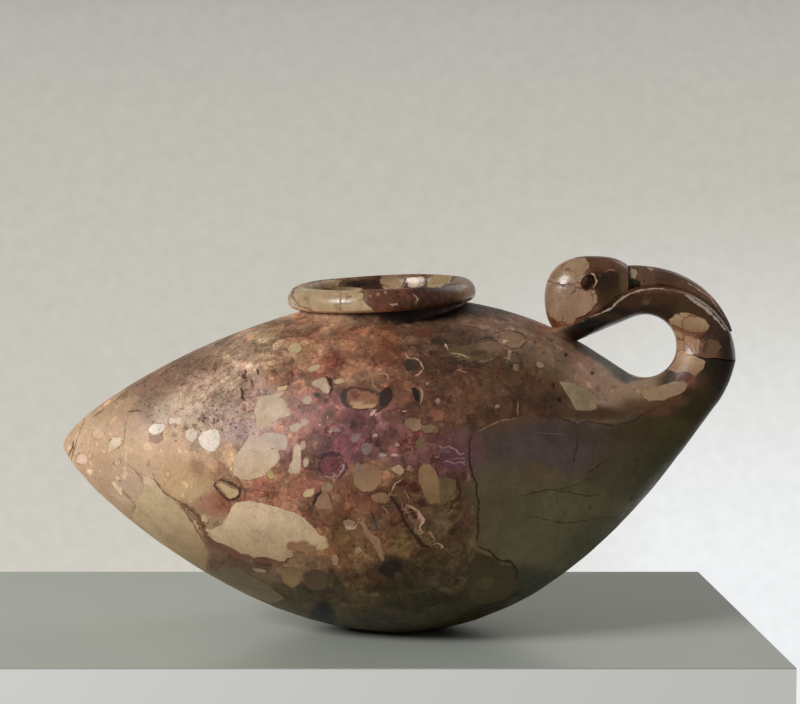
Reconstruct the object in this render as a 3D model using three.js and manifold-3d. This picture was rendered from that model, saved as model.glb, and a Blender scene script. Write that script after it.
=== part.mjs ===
// A bird-shaped unguent vessel of breccia: a resting ibis whose hollow body is the bowl.
// The bird looks along +X with its tail at -X, +Z is up, the table is Z = 0 and X = 0 is half way
// along the vessel. All lengths are millimetres, and outlines are drawn in the side view, X by Z.
//
// The body and neck are one horn. Its oval sections run from the tail to the breast, turn round the
// finger loop like the blades of a fan, and follow the neck up and back to the head, which rests on
// the bird's back. The long bill lies along the top of the neck. The stone parts at its old breaks,
// across the neck and at the tail, and at the edges of its carved features.
import * as THREE from "three";
import { mergeVertices } from "three/addons/utils/BufferGeometryUtils.js";
import Module from "manifold-3d";

// Body, seen from the side
const TAIL_REACH = 99.8; // tail point, behind the origin
const TAIL_HEIGHT = 54.5; // tail point, above the table
const CROWN_HEIGHT = 98.7; // top of the back, if the mouth did not cut it away
const BASE_DEPTH = 0.9; // stone ground off below, which leaves the resting flat
const BODY_WIDTH = 96;
const BODY_FULLNESS = 2.2; // roundness of a section: 2 is an ellipse, more is squarer

// How far each outline of the body keeps its direction at either end
const TAIL_RISE = 10;
const TAIL_FALL = 7.6;
const TAIL_SPREAD = 9;
const BACK_RUN = 41.6;
const BELLY_REAR_RUN = 49.5;
const BELLY_FRONT_RUN = 52.2;
const SIDE_REAR_RUN = 44;
const SIDE_FRONT_RUN = 44;
const BREAST_RUN = 16.6;
const BREAST_SIDE_RUN = 34;
const SHOULDER_RUN = 35;
const SHOULDER_END_RUN = 19.3;

// Finger loop between the neck and the back: a round, drawn out to a point towards the mouth
const LOOP_X = 73.2;
const LOOP_BELOW_CROWN = 14.4;
const LOOP_RADIUS = 9.4;
const BACK_SLOPE = 33; // degrees, of the back where it meets the round
const STRAP_SLOPE = 22.8; // degrees, of the neck where it leaves the round for the chin

// Neck. Angles are read round the loop's centre, 0 towards +X and 90 upwards
const NECK_ROOT_ANGLE = -38;
const MEND_ANGLE = -9; // the old break across the neck
const NECK_ROOT_THICKNESS = 18.2;
const NECK_MEND_THICKNESS = 17.6;
const NECK_TOP_THICKNESS = 7.9; // up to the crest along its side, without the roof
const NECK_TAPER = 1.5;
const NECK_WIDTH = 14.6;
const STRAP_THICKNESS = 4.2;
const STRAP_WAIST_SHARE = 0.4; // where the strap is down to its thickness
const STRAP_LENGTH = 24; // from the round to its end under the chin
const ROOF_RISE = 1.2; // the neck's middle, above the crest along its side
const CREST_START_ANGLE = -20;
const CREST_FULL_ANGLE = 12;

// Head, placed from the loop's centre
const NAPE_REACH = 29.9; // back of the head, behind the centre
const POLL_RISE = 26.8; // top of the head, above the centre
const HEAD_LENGTH = 24.4;
const HEAD_HEIGHT = 23.8;
const HEAD_WIDTH = 16.6;
const POLL_BACK = 11.5; // top of the head, behind its face
const CHIN_BACK = 16.5; // lowest point of the head, behind its face
const CHIN_RUN = 5.5; // how far the underside keeps level, at the chin and at the jaw
const NAPE_DROP = 12.2; // below the top
const BROW_DROP = 2.6; // upper edge of the face, below the top
const JAW_DROP = 15; // lower edge of the face, below the top
const BROW_SLOPE = 36; // degrees
const FACE_WIDTH = 12.4;
const HEAD_FULLNESS = 2.2;
const HEAD_ROUNDING = 0.62; // how far a quarter of the head's outline keeps its direction
const SKULL_SHARE = 0.5; // where the head is widest, from nape to face
const CHEEK_SHARE = 0.4; // where it starts to narrow to the face
const EYE_BACK = 10.6; // eye centre, behind the face
const EYE_DROP = 7.4;
const EYE_DIAMETER = 5.2;
const EYE_DEPTH = 4.2;

// Bill
const BILL_TIP_ANGLE = 9.8;
const BILL_BASE_HEIGHT = 6.3; // above the neck
const BILL_TIP_HEIGHT = 0.7;
const BILL_TAPER = 0.95;
const BILL_BASE_WIDTH = 9.6;
const BILL_TIP_WIDTH = 1.8;
const BILL_CREST_SHARE = 0.4; // height of the bill's widest line
const BILL_OVERRUN = 6; // how far the uncut bill runs on into the head, in degrees
const BILL_BEDDING = 1.6; // how deep the uncut bill runs into the neck

// Mouth
const MOUTH_X = -4.9;
const MOUTH_DIAMETER = 44.6;
const LIP_BREADTH = 5.6;
const LIP_HEIGHT = 6.5;
const LIP_BULGE_SHARE = 0.36; // height of the lip's widest line
const LIP_UNDERCUT_SHARE = 1 / 3; // how gently the lip's underside turns up
const LIP_TOP_SHARE = 0.32; // where the lip is highest, across its breadth from the mouth
const LIP_TILT = 2.7; // degrees, rising towards the head
const SEAT_BELOW_BACK = 1.7; // the lip's underside, below the uncut back
const COLLAR_INSET = 3.3; // of the collar under the lip, all round
const COLLAR_DEPTH = 15;
const THROAT_STEP = 0.8; // the throat is this much narrower than the mouth, all round
const THROAT_DEPTH = 32.9; // from the lip's seat down into the bowl

// Bowl
const WALL = 7.5;
const TAIL_SOLID = 32.3; // solid stone behind the bowl
const BREAST_SOLID = 28.7; // solid stone from the bowl to the middle of the finger loop
const BOWL_END_ROUNDING = 2.4;

// Tail tip, an old chip set back in place
const TAIL_TIP_LENGTH = 3.6;
const TAIL_TIP_SLANT = 19; // degrees

const JOINT_GAP = 0.3; // between pieces that touch
const CUT_SPAN = 400; // size of a cutting block, larger than the vessel
const WELD = 1e-4; // points nearer than this are one point

// Facets
const AROUND_BODY = 40;
const AROUND_BOWL = 28;
const AROUND_NECK = 24;
const AROUND_BILL = 16;
const AROUND_LIP = 44;
const STEPS_BODY = 22;
const STEPS_ROOT = 6;
const STEPS_ARCH = 16;
const STEPS_STRAP = 6;
const STEPS_HEAD = 14;
const STEPS_BOWL = 16;
const STEPS_LIP = 6;
const HALVINGS = 40; // of a curve's parameter, to find a height on it

const wasm = await Module();
wasm.setup();

const { degToRad, radToDeg, lerp, clamp, smoothstep } = THREE.MathUtils;
const point = (x, z) => new THREE.Vector2(x, z);
const heading = (degrees) => point(Math.cos(degToRad(degrees)), Math.sin(degToRad(degrees)));
const loopCentre = point(LOOP_X, CROWN_HEIGHT - LOOP_BELOW_CROWN);
const fromLoop = (x, z) => point(loopCentre.x + x, loopCentre.y + z);
const aroundLoop = (degrees, radius) => heading(degrees).multiplyScalar(radius).add(loopCentre);

// A curve that leaves `start` along the vector `out` and reaches `end` along the vector `into`.
function outline(start, out, end, into) {
  return new THREE.CubicBezierCurve(start, start.clone().add(out), end.clone().sub(into), end);
}

// The height of an outline at a given x, found by halving; x grows along the outline.
function heightAt(curve, x) {
  let low = 0;
  let high = 1;
  for (let i = 0; i < HALVINGS; i += 1) {
    const middle = (low + high) / 2;
    if (curve.getPoint(middle).x < x) low = middle;
    else high = middle;
  }
  return curve.getPoint((low + high) / 2).y;
}

// A section is an oval across the line from `inner`, the back or loop side, to `outer`.
// It is widest at the share `crest` of that line, and a `fullness` of 2 makes it an ellipse.
function section(inner, outer, halfWidth, { crest = 0.5, fullness = 2 } = {}) {
  return { inner, outer, halfWidth, crest, fullness };
}

// The corner points of a section; `grow` moves them outwards.
function ringOf(oval, count, grow) {
  const up = oval.inner.clone().sub(oval.outer).normalize();
  const length = oval.inner.distanceTo(oval.outer);
  const widest = oval.inner.clone().lerp(oval.outer, oval.crest);
  const rise = length * oval.crest + grow;
  const fall = length * (1 - oval.crest) + grow;
  const bend = (value) => Math.sign(value) * Math.abs(value) ** (2 / oval.fullness);
  return Array.from({ length: count }, (_, i) => {
    const angle = (2 * Math.PI * i) / count;
    const along = bend(Math.cos(angle)) * (Math.cos(angle) > 0 ? rise : fall);
    const across = bend(Math.sin(angle)) * (oval.halfWidth + grow);
    return new THREE.Vector3(widest.x + up.x * along, across, widest.y + up.y * along);
  });
}

function middleOf(ring) {
  return ring.reduce((sum, p) => sum.add(p), new THREE.Vector3()).divideScalar(ring.length);
}

// A closed skin over rings of equal count; each end closes on the middle of its ring.
function skin(rings) {
  const count = rings[0].length;
  const points = [middleOf(rings[0]), ...rings.flat(), middleOf(rings[rings.length - 1])];
  const last = points.length - 1;
  const faces = [];
  for (let i = 0; i < count; i += 1) {
    const next = (i + 1) % count;
    faces.push(0, 1 + i, 1 + next, last, last - count + next, last - count + i);
    for (let here = 1; here + count < last; here += count) {
      const there = here + count;
      faces.push(here + i, there + i, there + next, here + i, there + next, here + next);
    }
  }
  const geometry = new THREE.BufferGeometry().setFromPoints(points);
  geometry.setIndex(faces);
  return geometry;
}

// three.js geometry as a solid that can be cut, and back again.
function solidOf(geometry) {
  const bare = geometry.clone();
  bare.deleteAttribute("normal");
  bare.deleteAttribute("uv");
  const merged = mergeVertices(bare, WELD);
  const vertProperties = merged.getAttribute("position").array;
  const triVerts = new Uint32Array(merged.index.array);
  return new wasm.Manifold(new wasm.Mesh({ numProp: 3, vertProperties, triVerts }));
}

function geometryOf(solid) {
  const mesh = solid.getMesh();
  const geometry = new THREE.BufferGeometry();
  geometry.setAttribute("position", new THREE.BufferAttribute(mesh.vertProperties, mesh.numProp));
  geometry.setIndex(new THREE.BufferAttribute(mesh.triVerts, 1));
  const flat = geometry.toNonIndexed();
  flat.computeVertexNormals();
  return flat;
}

function loft(sections, count, grow = 0) {
  return solidOf(skin(sections.map((oval) => ringOf(oval, count, grow))));
}

// Body outlines, side view
const tail = point(-TAIL_REACH, TAIL_HEIGHT);
const crown = point(0, CROWN_HEIGHT);
const keel = point(0, -BASE_DEPTH);
const neckRoot = aroundLoop(NECK_ROOT_ANGLE, LOOP_RADIUS + NECK_ROOT_THICKNESS);
const neckRootHeading = heading(NECK_ROOT_ANGLE + 90);
const backMeetsLoop = aroundLoop(-90 - BACK_SLOPE, LOOP_RADIUS);
const backHeading = heading(-BACK_SLOPE);

const backLine = outline(tail, point(0, TAIL_RISE), crown, point(BACK_RUN, 0));
const bellyLine = outline(tail, point(0, -TAIL_FALL), keel, point(BELLY_REAR_RUN, 0));
const shoulderLine = outline(
  crown,
  point(SHOULDER_RUN, 0),
  backMeetsLoop,
  backHeading.clone().multiplyScalar(SHOULDER_END_RUN),
);
const breastLine = outline(
  keel,
  point(BELLY_FRONT_RUN, 0),
  neckRoot,
  neckRootHeading.clone().multiplyScalar(BREAST_RUN),
);

// Body outlines, plan view: half widths along x
const broadest = point(0, BODY_WIDTH / 2);
const tailSide = outline(
  point(-TAIL_REACH, 0),
  point(0, TAIL_SPREAD),
  broadest,
  point(SIDE_REAR_RUN, 0),
);
const breastSide = outline(
  broadest,
  point(SIDE_FRONT_RUN, 0),
  point(neckRoot.x, NECK_WIDTH / 2),
  point(BREAST_SIDE_RUN, 0),
);

const backAt = (x) => heightAt(x < 0 ? backLine : shoulderLine, x);
const bellyAt = (x) => heightAt(x < 0 ? bellyLine : breastLine, x);
const halfWidthAt = (x) => heightAt(x < 0 ? tailSide : breastSide, x);

// The point of the back or of the loop that faces a point of the belly or breast.
function facing(belly) {
  if (belly.x < backMeetsLoop.x) return point(belly.x, backAt(belly.x));
  const beside = belly.x - loopCentre.x;
  if (beside < 0) return fromLoop(beside, -Math.sqrt(LOOP_RADIUS ** 2 - beside ** 2));
  return belly.clone().sub(loopCentre).setLength(LOOP_RADIUS).add(loopCentre);
}

function bodySection(belly) {
  const frontShare = clamp(belly.x / neckRoot.x, 0, 1);
  const fullness = lerp(BODY_FULLNESS, 2, frontShare ** 2);
  return section(facing(belly), belly, halfWidthAt(belly.x), { fullness });
}

function bodySections() {
  const rear = bellyLine.getPoints(STEPS_BODY).slice(1);
  const front = breastLine.getPoints(STEPS_BODY).slice(1);
  return [...rear, ...front].map(bodySection);
}

// The neck at an angle round the loop. Its oval side turns into a crest under the bill.
function neckSection(angle) {
  const rootShare = clamp((angle - NECK_ROOT_ANGLE) / (MEND_ANGLE - NECK_ROOT_ANGLE), 0, 1);
  const archShare = clamp((angle - MEND_ANGLE) / (90 - MEND_ANGLE), 0, 1);
  const full = lerp(NECK_ROOT_THICKNESS, NECK_MEND_THICKNESS, rootShare);
  const tapered = lerp(NECK_TOP_THICKNESS, full, (1 - archShare) ** NECK_TAPER);
  const crestShare = smoothstep(angle, CREST_START_ANGLE, CREST_FULL_ANGLE);
  const thickness = tapered + ROOF_RISE * crestShare;
  const roof = lerp(thickness / 2, ROOF_RISE, crestShare);
  const inner = aroundLoop(angle, LOOP_RADIUS);
  const outer = aroundLoop(angle, LOOP_RADIUS + thickness);
  return section(inner, outer, NECK_WIDTH / 2, { crest: 1 - roof / thickness });
}

// The last stretch of the neck, where it leaves the round and runs straight down to the back.
function strapSection(share) {
  const along = heading(180 + STRAP_SLOPE).multiplyScalar(STRAP_LENGTH * share);
  const inner = aroundLoop(90 + STRAP_SLOPE, LOOP_RADIUS).add(along);
  const thinned = Math.sin((Math.PI / 2) * Math.min(1, share / STRAP_WAIST_SHARE));
  const thickness = lerp(NECK_TOP_THICKNESS, STRAP_THICKNESS, thinned) + ROOF_RISE;
  const outer = inner.clone().addScaledVector(heading(90 + STRAP_SLOPE), thickness);
  return section(inner, outer, NECK_WIDTH / 2, { crest: 1 - ROOF_RISE / thickness });
}

// A section moved along the neck, away from the break.
function pastBreak(oval, distance) {
  const shift = heading(MEND_ANGLE + 90).multiplyScalar(distance);
  return { ...oval, inner: oval.inner.clone().add(shift), outer: oval.outer.clone().add(shift) };
}

function steps(from, to, count) {
  return Array.from({ length: count }, (_, i) => lerp(from, to, (i + 1) / count));
}

const rootSections = steps(NECK_ROOT_ANGLE, MEND_ANGLE, STEPS_ROOT).map(neckSection);
const hornSections = [...bodySections(), ...rootSections];
const archSections = [
  pastBreak(neckSection(MEND_ANGLE), JOINT_GAP),
  ...steps(MEND_ANGLE, 90 + STRAP_SLOPE, STEPS_ARCH).map(neckSection),
  ...steps(0, 1, STEPS_STRAP).map(strapSection),
];
const horn = loft(hornSections, AROUND_BODY);
const hornAndGap = loft(hornSections, AROUND_BODY, JOINT_GAP);
const archAndGap = loft(archSections, AROUND_NECK, JOINT_GAP);

// Head outlines, from the nape over the top to the brow and under the chin to the jaw
const nape = fromLoop(-NAPE_REACH, POLL_RISE - NAPE_DROP);
const faceX = nape.x + HEAD_LENGTH;
const pollHeight = loopCentre.y + POLL_RISE;
const poll = point(faceX - POLL_BACK, pollHeight);
const chin = point(faceX - CHIN_BACK, pollHeight - HEAD_HEIGHT);
const brow = point(faceX, pollHeight - BROW_DROP);
const jaw = point(faceX, pollHeight - JAW_DROP);

function roundFromNape(end) {
  const rise = (end.y - nape.y) * HEAD_ROUNDING;
  return outline(nape, point(0, rise), end, point((end.x - nape.x) * HEAD_ROUNDING, 0));
}

const napeToPoll = roundFromNape(poll);
const napeToChin = roundFromNape(chin);
const pollToBrow = outline(
  poll,
  point(POLL_BACK * HEAD_ROUNDING, 0),
  brow,
  heading(-BROW_SLOPE).multiplyScalar(BROW_DROP),
);
const chinToJaw = outline(chin, point(CHIN_RUN, 0), jaw, point(CHIN_RUN, 0));

function headSection(x) {
  const top = point(x, heightAt(x < poll.x ? napeToPoll : pollToBrow, x));
  const bottom = point(x, heightAt(x < chin.x ? napeToChin : chinToJaw, x));
  const share = (x - nape.x) / HEAD_LENGTH;
  const before = 1 - Math.min(1, share / SKULL_SHARE);
  const skull = (HEAD_WIDTH / 2) * Math.sqrt(1 - before ** 2);
  const half = lerp(skull, FACE_WIDTH / 2, smoothstep(share, CHEEK_SHARE, 1));
  return section(top, bottom, half, { fullness: HEAD_FULLNESS });
}

// Stations lie closer together towards the nape, where the outline turns fastest.
function headSections() {
  const shares = steps(0, Math.PI / 2, STEPS_HEAD).map((angle) => 1 - Math.cos(angle));
  return shares.map((share) => headSection(lerp(nape.x, faceX, share)));
}

const headBlank = headSections();

// The bill, from its tip to inside the head. It is drawn too deep and then cut to the neck.
function billSections() {
  const face = brow.clone().lerp(jaw, 0.5).sub(loopCentre);
  const faceAngle = radToDeg(face.angle());
  const toInside = (faceAngle + BILL_OVERRUN - BILL_TIP_ANGLE) / (faceAngle - BILL_TIP_ANGLE);
  return [0, ...steps(0, toInside, STEPS_ARCH)].map((share) => {
    const angle = lerp(BILL_TIP_ANGLE, faceAngle, share);
    const roof = neckSection(angle).outer.distanceTo(loopCentre);
    const height = lerp(BILL_TIP_HEIGHT, BILL_BASE_HEIGHT, share ** BILL_TAPER);
    const half = lerp(BILL_TIP_WIDTH, BILL_BASE_WIDTH, share) / 2;
    const bed = aroundLoop(angle, roof - BILL_BEDDING);
    return section(bed, aroundLoop(angle, roof + height), half, { crest: BILL_CREST_SHARE });
  });
}

// The bowl: the body's own sections, a wall's thickness in, rounded off at both ends.
function bowlSection(turn) {
  const x = lerp(-TAIL_REACH + TAIL_SOLID, LOOP_X - BREAST_SOLID, (1 - Math.cos(turn)) / 2);
  const round = (1 - Math.abs(Math.cos(turn)) ** BOWL_END_ROUNDING) ** (1 / BOWL_END_ROUNDING);
  const top = backAt(x);
  const bottom = Math.max(0, bellyAt(x));
  const middle = (top + bottom) / 2;
  const reach = ((top - bottom) / 2 - WALL) * round;
  const half = (halfWidthAt(x) - WALL) * round;
  const fullness = BODY_FULLNESS;
  return section(point(x, middle + reach), point(x, middle - reach), half, { fullness });
}

function bowl() {
  return loft(steps(0, Math.PI, STEPS_BOWL).slice(0, -1).map(bowlSection), AROUND_BOWL);
}

// Cutting blocks and bores
function cuttingBlock() {
  return new THREE.BoxGeometry(CUT_SPAN, CUT_SPAN, CUT_SPAN);
}

// Everything behind a slanted plane near the tail point; `shift` moves the plane forwards.
function behindTailBreak(shift) {
  const block = cuttingBlock().translate(-CUT_SPAN / 2, 0, 0);
  block.rotateY(degToRad(TAIL_TIP_SLANT));
  return solidOf(block.translate(-TAIL_REACH + TAIL_TIP_LENGTH + shift, 0, TAIL_HEIGHT));
}

function upright(diameter, low, high) {
  const cylinder = new THREE.CylinderGeometry(diameter / 2, diameter / 2, high - low, AROUND_LIP);
  return cylinder.rotateX(Math.PI / 2).translate(0, 0, (low + high) / 2);
}

// Tilts and places what is drawn on the mouth's own axis, with the lip's underside at zero.
function atMouth(geometry) {
  const seatHeight = backAt(MOUTH_X) - SEAT_BELOW_BACK;
  return geometry.rotateY(degToRad(-LIP_TILT)).translate(MOUTH_X, 0, seatHeight);
}

const mouthRadius = MOUTH_DIAMETER / 2;
const throatRadius = mouthRadius - THROAT_STEP;
const lipRadius = mouthRadius + LIP_BREADTH;
const collarRadius = lipRadius - COLLAR_INSET;

// Half of the lip's section: up the outside from the seat, over the top, and down into the throat.
function lipProfile() {
  const top = mouthRadius + LIP_BREADTH * LIP_TOP_SHARE;
  const bulge = LIP_HEIGHT * LIP_BULGE_SHARE;
  const shape = new THREE.Shape();
  shape.moveTo(collarRadius, 0);
  const under = lipRadius - COLLAR_INSET * LIP_UNDERCUT_SHARE;
  shape.bezierCurveTo(under, 0, lipRadius, bulge * LIP_UNDERCUT_SHARE, lipRadius, bulge);
  shape.absellipse(top, bulge, lipRadius - top, LIP_HEIGHT - bulge, 0, Math.PI / 2);
  shape.absellipse(top, bulge, top - mouthRadius, LIP_HEIGHT - bulge, Math.PI / 2, Math.PI);
  shape.lineTo(throatRadius, 0);
  shape.closePath();
  return shape.getPoints(STEPS_LIP);
}

function mouthLip() {
  return atMouth(new THREE.LatheGeometry(lipProfile(), AROUND_LIP).rotateX(Math.PI / 2));
}

// The collar under the lip, the ground-off base, the bowl and its throat
function vesselBody() {
  const collar = solidOf(atMouth(upright(2 * collarRadius, -COLLAR_DEPTH, -JOINT_GAP)));
  const aboveSeat = solidOf(atMouth(upright(2 * collarRadius, -JOINT_GAP, LIP_HEIGHT)));
  const throat = solidOf(atMouth(upright(2 * throatRadius, -THROAT_DEPTH, LIP_HEIGHT)));
  const table = solidOf(cuttingBlock().translate(0, 0, -CUT_SPAN / 2));
  return horn
    .add(collar)
    .subtract(aboveSeat)
    .subtract(bowl())
    .subtract(throat)
    .subtract(table)
    .subtract(behindTailBreak(JOINT_GAP));
}

function eyeSocket(side) {
  const socket = upright(EYE_DIAMETER, 0, HEAD_WIDTH).rotateX((side * Math.PI) / 2);
  const floor = -side * (HEAD_WIDTH / 2 - EYE_DEPTH);
  return solidOf(socket.translate(faceX - EYE_BACK, floor, pollHeight - EYE_DROP));
}

function head() {
  return loft(headBlank, AROUND_NECK)
    .subtract(archAndGap)
    .subtract(hornAndGap)
    .subtract(eyeSocket(1))
    .subtract(eyeSocket(-1));
}

function bill() {
  return loft(billSections(), AROUND_BILL)
    .subtract(archAndGap)
    .subtract(loft(headBlank, AROUND_NECK, JOINT_GAP));
}

// Breccia, a hard mottled stone, polished to a low gloss
function stonePiece(name, geometry, color) {
  const breccia = new THREE.MeshStandardMaterial({ color, roughness: 0.35, metalness: 0 });
  const mesh = new THREE.Mesh(geometry, breccia);
  mesh.name = name;
  return mesh;
}

const vessel = new THREE.Group();
vessel.add(
  stonePiece("vessel_body", geometryOf(vesselBody()), 0x9a7a5c),
  stonePiece("tail_tip", geometryOf(horn.intersect(behindTailBreak(0))), 0xc4a684),
  stonePiece("mouth_lip", mouthLip(), 0xa88a68),
  stonePiece("neck_arch", geometryOf(loft(archSections, AROUND_NECK).subtract(hornAndGap)), 0x7d5a45),
  stonePiece("head", geometryOf(head()), 0x9c8068),
  stonePiece("bill", geometryOf(bill()), 0x66432f),
);

export default vessel;
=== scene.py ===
# %% [markdown]
# # A bird-shaped unguent vessel of polished breccia
#
# The vessel is one carved stone: a resting ibis whose hollow body is the bowl. Its old breaks, across
# the neck and at the tail, part it into pieces, and so do the sharp edges of its lip, head and bill.
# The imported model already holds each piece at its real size. This script makes the fine surfaces
# around it, and the stone itself: a red-brown ground with pale angular fragments set in it.

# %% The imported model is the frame
import itertools
import math

import bpy
import numpy as np
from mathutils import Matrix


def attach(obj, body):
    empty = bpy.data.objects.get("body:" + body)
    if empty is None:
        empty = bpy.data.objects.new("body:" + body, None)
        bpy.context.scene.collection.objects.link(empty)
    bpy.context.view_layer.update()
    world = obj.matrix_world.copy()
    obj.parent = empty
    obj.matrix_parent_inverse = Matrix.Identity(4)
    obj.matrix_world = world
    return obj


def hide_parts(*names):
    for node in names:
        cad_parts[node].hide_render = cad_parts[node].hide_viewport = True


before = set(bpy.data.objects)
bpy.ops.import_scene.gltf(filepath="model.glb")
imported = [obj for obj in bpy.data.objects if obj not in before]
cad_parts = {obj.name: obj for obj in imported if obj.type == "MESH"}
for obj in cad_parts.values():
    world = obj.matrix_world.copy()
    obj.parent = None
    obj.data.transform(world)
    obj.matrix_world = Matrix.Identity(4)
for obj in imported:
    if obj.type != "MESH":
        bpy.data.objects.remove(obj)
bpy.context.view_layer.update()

# %% [markdown]
# ## The camera comes first
#
# The stone's pattern is read off the photograph, so the script has to know where the photograph shows
# each point of the vessel. One set of numbers serves both: Blender's camera is built from them, and
# `seen_at` does the camera's sum for a whole array of points.

# %% The photograph's camera
MM = 0.001  # metres in a millimetre
PHOTO_SIZE = (800, 704)  # pixels
FOCAL_PIXELS = 3345  # focal length in pixels of the photograph
CAMERA_DISTANCE = 994  # mm, from the point aimed at
CAMERA_ELEVATION = math.radians(6.3)
AIM = np.array([0.46, 0.0, 82.5])  # mm
SENSOR_WIDTH = 36  # mm, Blender's own

forward = np.array([0, math.cos(CAMERA_ELEVATION), -math.sin(CAMERA_ELEVATION)])
upward = np.array([0, math.sin(CAMERA_ELEVATION), math.cos(CAMERA_ELEVATION)])
camera_place = AIM - forward * CAMERA_DISTANCE


def seen_at(points):
    """Pixel of the photograph for each point in mm: sideways and upward parts over the depth."""
    away = points - camera_place
    scale = FOCAL_PIXELS / (away @ forward)
    across = PHOTO_SIZE[0] / 2 + scale * away[:, 0]
    down = PHOTO_SIZE[1] / 2 - scale * (away @ upward)
    return np.stack([across, down], axis=1)


lens = bpy.data.cameras.new("photo_camera")
lens.sensor_width = SENSOR_WIDTH
lens.lens = FOCAL_PIXELS / PHOTO_SIZE[0] * SENSOR_WIDTH
camera = bpy.data.objects.new("photo_camera", lens)
camera.location = camera_place * MM
camera.rotation_euler = (math.pi / 2 - CAMERA_ELEVATION, 0, 0)
bpy.context.scene.collection.objects.link(camera)
bpy.context.scene.camera = camera
MM_PER_PIXEL = CAMERA_DISTANCE / FOCAL_PIXELS
print("camera at", camera.location[:], "lens", round(lens.lens, 1), "mm per pixel", round(MM_PER_PIXEL, 3))

# %% [markdown]
# ## Outlines
#
# A carver draws the bird on the side of the block first, and so does this script. Each outline is a
# cubic curve between two points, given by the directions in which it leaves and arrives. It is worked
# out as a dense row of points, so that its height at any x is a plain interpolation.

# %% Curves, headings and places round the finger loop
CURVE_SAMPLES = 900
LOOP = np.array([73.2, 84.3])  # centre of the finger loop, x and z
LOOP_RADIUS = 9.4


def xz(x, z):
    """A point of the side view."""
    return np.array([x, z], dtype=float)


def heading(degrees):
    """Unit vectors (cos, sin) in the side view, one row for each angle."""
    turn = np.radians(degrees)
    return np.stack([np.cos(turn), np.sin(turn)], axis=-1)


def around_loop(degrees, radius):
    """Points at an angle and a distance from the loop's centre."""
    return LOOP + heading(degrees) * np.reshape(radius, (-1, 1))


def curve(start, out, end, into):
    """Cubic Bezier points: the ends weigh (1-t)^3 and t^3, the handles 3t(1-t)^2 and 3t^2(1-t)."""
    t = np.linspace(0, 1, CURVE_SAMPLES)[:, None]
    first, second = start + out, end - into
    return start * (1 - t) ** 3 + 3 * t * (1 - t) ** 2 * first + 3 * t**2 * (1 - t) * second + end * t**3


def height_at(line, x):
    """Height of an outline at x, straight between its points."""
    return np.interp(x, line[:, 0], line[:, 1])


def smooth(value, low, high):
    """The S-curve 3t^2 - 2t^3, from 0 at low to 1 at high."""
    t = np.clip((value - low) / (high - low), 0, 1)
    return t * t * (3 - 2 * t)


# %% The body's outlines
TAIL = xz(-99.8, 54.5)
CROWN = xz(0, 98.7)  # top of the back, if the mouth did not cut it away
KEEL = xz(0, -0.9)  # below the table: this much is ground off as the resting flat
HALF_WIDTH = 48
BODY_FULLNESS = 2.2  # 2 is an ellipse, more is squarer
NECK_ROOT_ANGLE = -38
MEND_ANGLE = -9  # the old break across the neck
NECK_ROOT_THICKNESS = 18.2
NECK_MEND_THICKNESS = 17.6
NECK_HALF_WIDTH = 7.3
BACK_SLOPE = 33  # degrees, where the back meets the loop

neck_root = around_loop(NECK_ROOT_ANGLE, LOOP_RADIUS + NECK_ROOT_THICKNESS)[0]
back_meets_loop = around_loop(-90 - BACK_SLOPE, LOOP_RADIUS)[0]

back_line = curve(TAIL, xz(0, 10), CROWN, xz(41.6, 0))
belly_line = curve(TAIL, xz(0, -7.6), KEEL, xz(49.5, 0))
shoulder_line = curve(CROWN, xz(35, 0), back_meets_loop, 19.3 * heading(-BACK_SLOPE))
breast_line = curve(KEEL, xz(52.2, 0), neck_root, 16.6 * heading(NECK_ROOT_ANGLE + 90))
tail_side = curve(xz(TAIL[0], 0), xz(0, 9), xz(0, HALF_WIDTH), xz(44, 0))
breast_side = curve(xz(0, HALF_WIDTH), xz(44, 0), xz(neck_root[0], NECK_HALF_WIDTH), xz(34, 0))


def joined(rear, front, x):
    """Height of an outline whose two parts meet at x = 0."""
    return np.where(x < 0, height_at(rear, x), height_at(front, x))


print("neck root at", neck_root.round(1), "back meets the loop at", back_meets_loop.round(1))

# %% [markdown]
# ## From outlines to skins
#
# Body, neck, head and bill are all made the same way. A section is an oval across the line from an
# inner to an outer point of the side view, and many sections in a row make a skin. The oval's two
# halves may differ in height: that gives the neck its crest, with the low roof above it on which the
# bill lies.

# %% Sections and skins
def evenly(count):
    """Angles once round, without the last, which is the first again."""
    return np.arange(count) * 2 * np.pi / count


def ovals(inner, outer, half_width, crest=0.5, fullness=2.0, angles=evenly(96)):
    """Rings of points round the line from inner to outer, widest at the share crest of it.
    Along that line they reach cos(a), across it sin(a), each to the power 2 / fullness."""
    half_width, crest, fullness = (
        np.broadcast_to(value, len(inner))[:, None] for value in (half_width, crest, fullness)
    )
    across = inner - outer
    length = np.linalg.norm(across, axis=1, keepdims=True)
    up = across / length
    widest = inner - across * crest
    along, side = np.cos(angles)[None], np.sin(angles)[None]
    along = np.sign(along) * np.abs(along) ** (2 / fullness)
    side = np.sign(side) * np.abs(side) ** (2 / fullness) * half_width
    along = along * length * np.where(along > 0, crest, 1 - crest)
    return np.stack([widest[:, :1] + up[:, :1] * along, side, widest[:, 1:] + up[:, 1:] * along], axis=2)


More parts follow.
